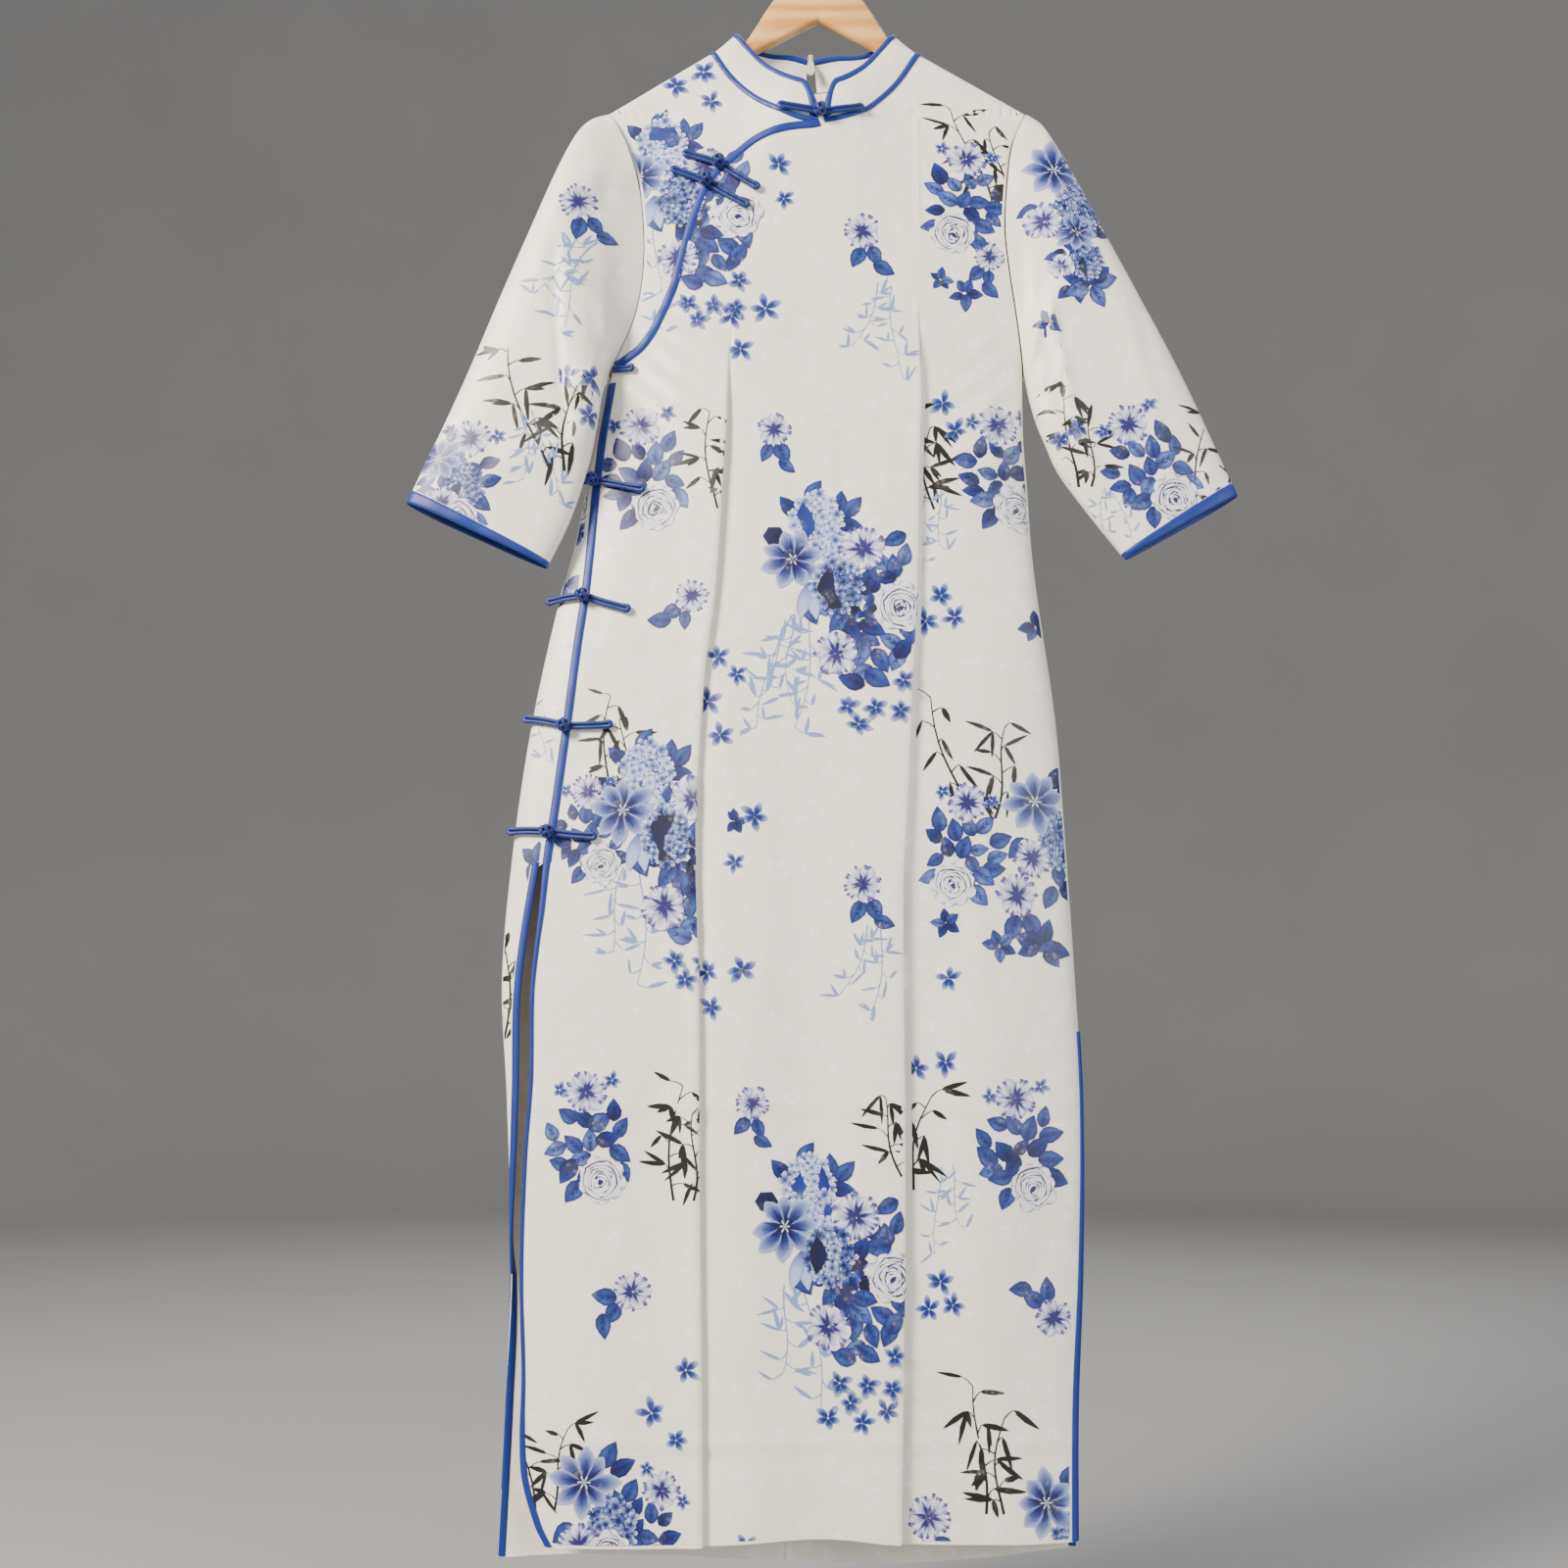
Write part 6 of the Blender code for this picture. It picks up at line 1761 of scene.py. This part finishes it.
def cloth_depth(x, drop, face):
    """Depth of the cloth between places worked out once each, or exactly where it is steep."""
    u, v = x / LATTICE, drop / LATTICE
    i, j = math.floor(u), math.floor(v)
    corners = []
    for key in ((i, j, face), (i + 1, j, face), (i, j + 1, face), (i + 1, j + 1, face)):
        if key not in known_depths:
            known_depths[key] = depth(key[0] * LATTICE, key[1] * LATTICE, face)
        corners.append(known_depths[key])
    if max(corners) - min(corners) > 0.0010:
        return depth(x, drop, face)
    a, b, c, d = corners
    return blend(blend(a, b, u - i), blend(c, d, u - i), v - j)


def as_it_is(rows):
    return rows


def on_front(x, drop):
    return place(x, -cloth_depth(x, drop, FRONT), drop)


def on_shoulder(x, drop):
    top = ridge_drop(x)
    v = min(1.0, max(0.0, (drop - top) / max(0.01, drop_on(OPENING_LEFT, x) - top)))
    return place(x, -cloth_depth(x, drop, FRONT) + OVERLAP_UNDER * v * v, drop)


def on_back(x, drop):
    dip = SEAM_DIP * max(0.0, 1 - abs(x - zip_line_x(drop)) / 0.004)
    return place(x, cloth_depth(x, drop, BACK) - dip, drop)


def sleeve_slopes(which, s, t, e=0.001):
    """x and drop of a sleeve's place, and how they change along and across it."""
    x, drop = sleeve_flat(which, s, t)
    sx, sd = ((a - b) / e for a, b in zip(sleeve_flat(which, s + e, t), (x, drop)))
    tx, td = ((a - b) / e for a, b in zip(sleeve_flat(which, s, t + e), (x, drop)))
    return x, drop, sx, sd, tx, td


def in_shares(which, rows):
    """Shares along and across a sleeve of a shape's places, by Newton's steps to its middle."""
    flat = [p for row in rows for p in row]
    mid_x, mid_drop = (sum(p[i] for p in flat) / len(flat) for i in (0, 1))
    s = t = 0.5
    for _ in range(4):
        x, drop, sx, sd, tx, td = sleeve_slopes(which, s, t)
        area = sx * td - tx * sd
        dx, dd = mid_x - x, mid_drop - drop
        s, t = s + (dx * td - tx * dd) / area, t + (sx * dd - dx * sd) / area
    x, drop, sx, sd, tx, td = sleeve_slopes(which, s, t)
    area = sx * td - tx * sd
    return [[(s + ((px - x) * td - tx * (pd - drop)) / area,
              t + (sx * (pd - drop) - (px - x) * sd) / area, colour)
             for px, pd, colour in row] for row in rows]


def on_sleeve(which, front):
    def surface(s, t):
        angle = math.acos(1 - 2 * min(max(t, 0.001), 0.999))
        return sleeve_point(which, min(max(s, 0.0), 1.0), angle if front else 2 * math.pi - angle)
    return surface


# Stretches of cloth: own coordinates, gate, surface, step for slopes, and the object's name
STRETCHES = {
    "left": (as_it_is, zone(0, 0), in_front, on_front, 0.0008, FRONT, "print_front_left"),
    "middle": (as_it_is, zone(1, 1), in_front, on_front, 0.0008, FRONT, "print_front_middle"),
    "right": (as_it_is, zone(2, 2), in_front, on_front, 0.0008, FRONT, "print_front_right"),
    "shoulder": (as_it_is, in_shoulder, in_shoulder, on_shoulder, 0.0008, FRONT, "print_shoulder"),
    "wrap": (as_it_is, in_wrap, in_wrap, on_front, 0.0008, FRONT, "print_wrap"),
    "back": (as_it_is, in_back, in_back, on_back, 0.0008, BACK, "print_back"),
}
for _name, _which in (("sleeve_left", "left"), ("sleeve_right", "right")):
    _own = lambda rows, which=_which: in_shares(which, rows)
    STRETCHES[_name] = (_own, in_sleeve, in_sleeve, on_sleeve(_which, True), 0.002, FRONT,
                        "print_" + _name)
    STRETCHES[_name + "_back"] = (_own, in_sleeve, in_sleeve, on_sleeve(_which, False), 0.002, BACK,
                                  "print_" + _name)
PRINT_LIFT = 0.00030
LAYER_LIFT = 0.000008
SMALL = 0.014


def clipped(corners, gate):
    """Part of a polygon where the gate is positive."""
    kept = []
    for i, q in enumerate(corners):
        p = corners[i - 1]
        gp, gq = gate(p[0], p[1]), gate(q[0], q[1])
        if (gp > 0) != (gq > 0):
            f = gp / (gp - gq)
            kept.append((blend(p[0], q[0], f), blend(p[1], q[1], f), tint(p[2], q[2], f)))
        if gq > 0:
            kept.append(q)
    return kept


def lay_shape(cloth, layer, rows, stretch):
    """Lays one drawn shape on its stretch of cloth and adds it to the faces there."""
    own, strip, region, surface, step, face, _ = stretch
    points, colours, faces = cloth
    grid = own(rows)
    gate = lambda u, v: min(strip(u, v), region(u, v))
    flat = [p for row in grid for p in row]
    mid_u, mid_v = (sum(p[i] for p in flat) / len(flat) for i in (0, 1))
    reach = 1.7 * max(max(abs(u - mid_u), abs(v - mid_v)) for u, v, _ in flat)
    room = gate(mid_u, mid_v)
    if room < -reach:
        return
    inside = [[room > reach or gate(u, v) > 0 for u, v, _ in row] for row in grid]
    if not any(any(row) for row in inside):
        return
    middle = surface(mid_u, mid_v)
    du, dv = surface(mid_u + step, mid_v) - middle, surface(mid_u, mid_v + step) - middle
    out = du.cross(dv).normalized()
    if out.y * face < 0:
        out = -out
    raised = out * (PRINT_LIFT + LAYER_LIFT * layer)
    xs, drops = [p[0] for row in rows for p in row], [p[1] for row in rows for p in row]
    small = max(xs) - min(xs) < SMALL and max(drops) - min(drops) < SMALL \
        and all(abs(d.y) < 0.5 * math.hypot(d.x, d.z) for d in (du, dv))

    def vertex(u, v, colour):
        if small:
            at = middle + du * ((u - mid_u) / step) + dv * ((v - mid_v) / step)
        else:
            at = surface(u, v)
        points.append(at + raised)
        colours.append(colour)
        return len(points) - 1

    made = {}
    for i in range(len(grid) - 1):
        for j in range(len(grid[0]) - 1):
            spots = ((i, j), (i, j + 1), (i + 1, j + 1), (i + 1, j))
            within = sum(inside[a][b] for a, b in spots)
            if within == 4:
                for spot in spots:
                    if spot not in made:
                        made[spot] = vertex(*grid[spot[0]][spot[1]])
                corners = [made[spot] for spot in spots]
            elif within:
                part = clipped([grid[a][b] for a, b in spots], gate)
                if len(part) < 3:
                    continue
                corners = [vertex(*corner) for corner in part]
            else:
                continue
            a, b, c = (points[corners[k]] for k in (0, 1, 2))
            turned = (b - a).cross(c - b).y * face
            faces.append(corners if turned > 0 else corners[::-1])


def drawn(kind, x, drop, turn, size, side, number):
    """Shapes of one motif at a place on the cloth."""
    book = {"shapes": [], "layer": 0}
    DRAWN[kind](Pen(book, x, drop, math.radians(turn), size, side), random.Random(number))
    return book["shapes"]


BACK_SHIFT = 0.33
BACK_MIDDLE = -0.02


def print_on_cloth():
    """Lays every motif; gives the objects made by name."""
    cloths = {stretch[-1]: ([], [], []) for stretch in STRETCHES.values()}
    every = [(wheres.split(), *motif) for wheres, motifs in MOTIFS for motif in motifs]
    for number, (wheres, kind, px, py, *rest) in enumerate(every):
        turn, size, side = rest + [0, 1.0, 1][len(rest):]
        own, _, _, surface, *_ = STRETCHES[wheres[0]]
        x, drop, pixel = seen_at(px, py, lambda x, drop: surface(*own([[(x, drop, 0)]])[0][0][:2]).y)
        shapes = drawn(kind, x, drop, turn, size * pixel, side, number)
        if wheres[0].startswith("sleeve"):
            wheres.append(wheres[0] + "_back")
        for where in wheres:
            for layer, rows in shapes:
                lay_shape(cloths[STRETCHES[where][-1]], layer, rows, STRETCHES[where])
        if not wheres[0].startswith(("sleeve", "wrap", "shoulder")):
            drop += BACK_SHIFT if drop < 1.05 else BACK_SHIFT - 1.38
            for layer, rows in drawn(kind, 2 * BACK_MIDDLE - x, drop, turn, size * pixel, -side,
                                     number):
                lay_shape(cloths["print_back"], layer, rows, STRETCHES["back"])
    made = {}
    for name, (points, colours, faces) in cloths.items():
        obj = new_object(name, points, faces, PRINT)
        obj.data.shade_smooth()
        ink = obj.data.color_attributes.new("print", "FLOAT_COLOR", "POINT")
        ink.data.foreach_set("color", [c for colour in colours for c in (*colour, 1.0)])
        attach(obj, "garment")
        made[name] = obj
    return made


# Stage, light and camera

def lathe_stage(name, profile, mat, count=96):
    """Round floor turned from a profile of radius and height."""
    points = [Vector((r * math.cos(2 * math.pi * k / count), r * math.sin(2 * math.pi * k / count), z))
              for r, z in profile for k in range(count)]
    faces = []
    for i in range(len(profile) - 1):
        for k in range(count):
            a, b = i * count, (i + 1) * count
            faces.append((a + k, b + k, b + (k + 1) % count, a + (k + 1) % count))
    faces.append(tuple(range(count)))
    obj = new_object(name, points, faces, mat)
    obj.data.shade_smooth()


FLOOR_Z = -1.72
FLOOR_RADIUS = 5.0


def stage():
    """Pale studio floor that turns up into a round backdrop far behind the dress."""
    mat, tree, shader, place_from = new_material("studio_floor", Roughness=0.9)
    cloudy = node(tree, "TexNoise", {"Vector": place_from, "Scale": 1.5, "Detail": 3.0})
    colour = node(tree, "Mix", {0: cloudy.outputs["Fac"], 6: linear("8C8D8F"), 7: linear("949597")},
                  data_type="RGBA")
    tree.links.new(colour.outputs[2], shader.inputs["Base Color"])
    rise = [(FLOOR_RADIUS + 2.0 * math.sin(a), FLOOR_Z + 2.0 * (1 - math.cos(a)))
            for a in (math.pi / 2 * i / 12 for i in range(13))]
    lathe_stage("floor", [(1.0, FLOOR_Z), (3.0, FLOOR_Z), *rise, (FLOOR_RADIUS + 2.0, 5.0)], mat)


# Soft round lights: place, size in metres, watts and colour
LIGHTS = {"key": ((-2.5, -2.1, 0.9), 1.3, 370.0, "FFF3E2"),
          "fill": ((2.4, -2.4, -0.3), 2.4, 75.0, "FBFBFF"),
          "rim": ((0.6, 2.6, 1.2), 2.2, 60.0, "FFFFFF")}
LIGHTS_AIM = Vector((0.0, 0.0, -0.85))
ROOM_COLOUR = "E9E8E6"
ROOM_STRENGTH = 0.85


def light_and_camera():
    world = bpy.data.worlds.new("studio")
    world.use_nodes = True
    room = world.node_tree.nodes["Background"].inputs
    room["Color"].default_value, room["Strength"].default_value = linear(ROOM_COLOUR), ROOM_STRENGTH
    bpy.context.scene.world = world
    for name, (stands_at, size, watts, colour) in LIGHTS.items():
        light = bpy.data.lights.new(name, "AREA")
        light.shape, light.size, light.energy = "DISK", size, watts
        light.color = linear(colour)[:3]
        obj = bpy.data.objects.new(name, light)
        obj.location = stands_at
        aim = LIGHTS_AIM - Vector(stands_at)
        obj.rotation_euler = aim.to_track_quat("-Z", "Y").to_euler()
        bpy.context.scene.collection.objects.link(obj)
    camera = bpy.data.objects.new("camera", bpy.data.cameras.new("camera"))
    camera.location = CAMERA_AT
    camera.rotation_euler = (math.pi / 2 + CAMERA_TILT, 0, 0)
    camera.data.lens, camera.data.sensor_width = LENS, SENSOR
    bpy.context.scene.collection.objects.link(camera)
    bpy.context.scene.camera = camera


# Building


def build():
    stage()
    light_and_camera()
    panels = {"front_panel": front_panel(), "front_overlap": front_overlap(),
              "back_right": back_half("back_right", -1), "back_left": back_half("back_left", 1)}
    cuffs, neck = {}, {}
    for which in ("left", "right"):
        panels["sleeve_" + which] = sleeve(which)
        cuffs[which] = cuff_binding(which)
        panels["collar_" + which], edge = collar(which)
        neck[which] = [edge, neck_piping(which)]
    on_front_panel = [
        opening_piping(),
        front_strip("side_piping", ARMPIT_DROP + 0.012, SLIT_LEFT_DROP, 120, 0.0),
        front_strip("slit_binding_front_right", SLIT_LEFT_DROP, HEM_AT_SLIT["front_right"], 150,
                    CLOTH_WALL),
        slit_strip("front_left", lambda drop: SLIT_TURN, 1, SLIT_RIGHT_DROP)]
    back_left_edge = slit_strip("back_left", lambda drop: 2 * math.pi - SLIT_TURN, -1,
                                SLIT_RIGHT_DROP)
    back_right_edge = slit_strip("back_right", back_edge_turn, 1, SLIT_LEFT_DROP)
    for number, *_ in FROGS.rows:
        on_front_panel += frog(number)
    hanger()
    hanger_hook()
    for name in ("zip_slider", "zip_pull"):
        zip_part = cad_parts[name]
        zip_part.data.materials.clear()
        zip_part.data.materials.append(ZIP_METAL)
    prints = print_on_cloth()
    for which in ("left", "right"):
        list(neck[which])


build()
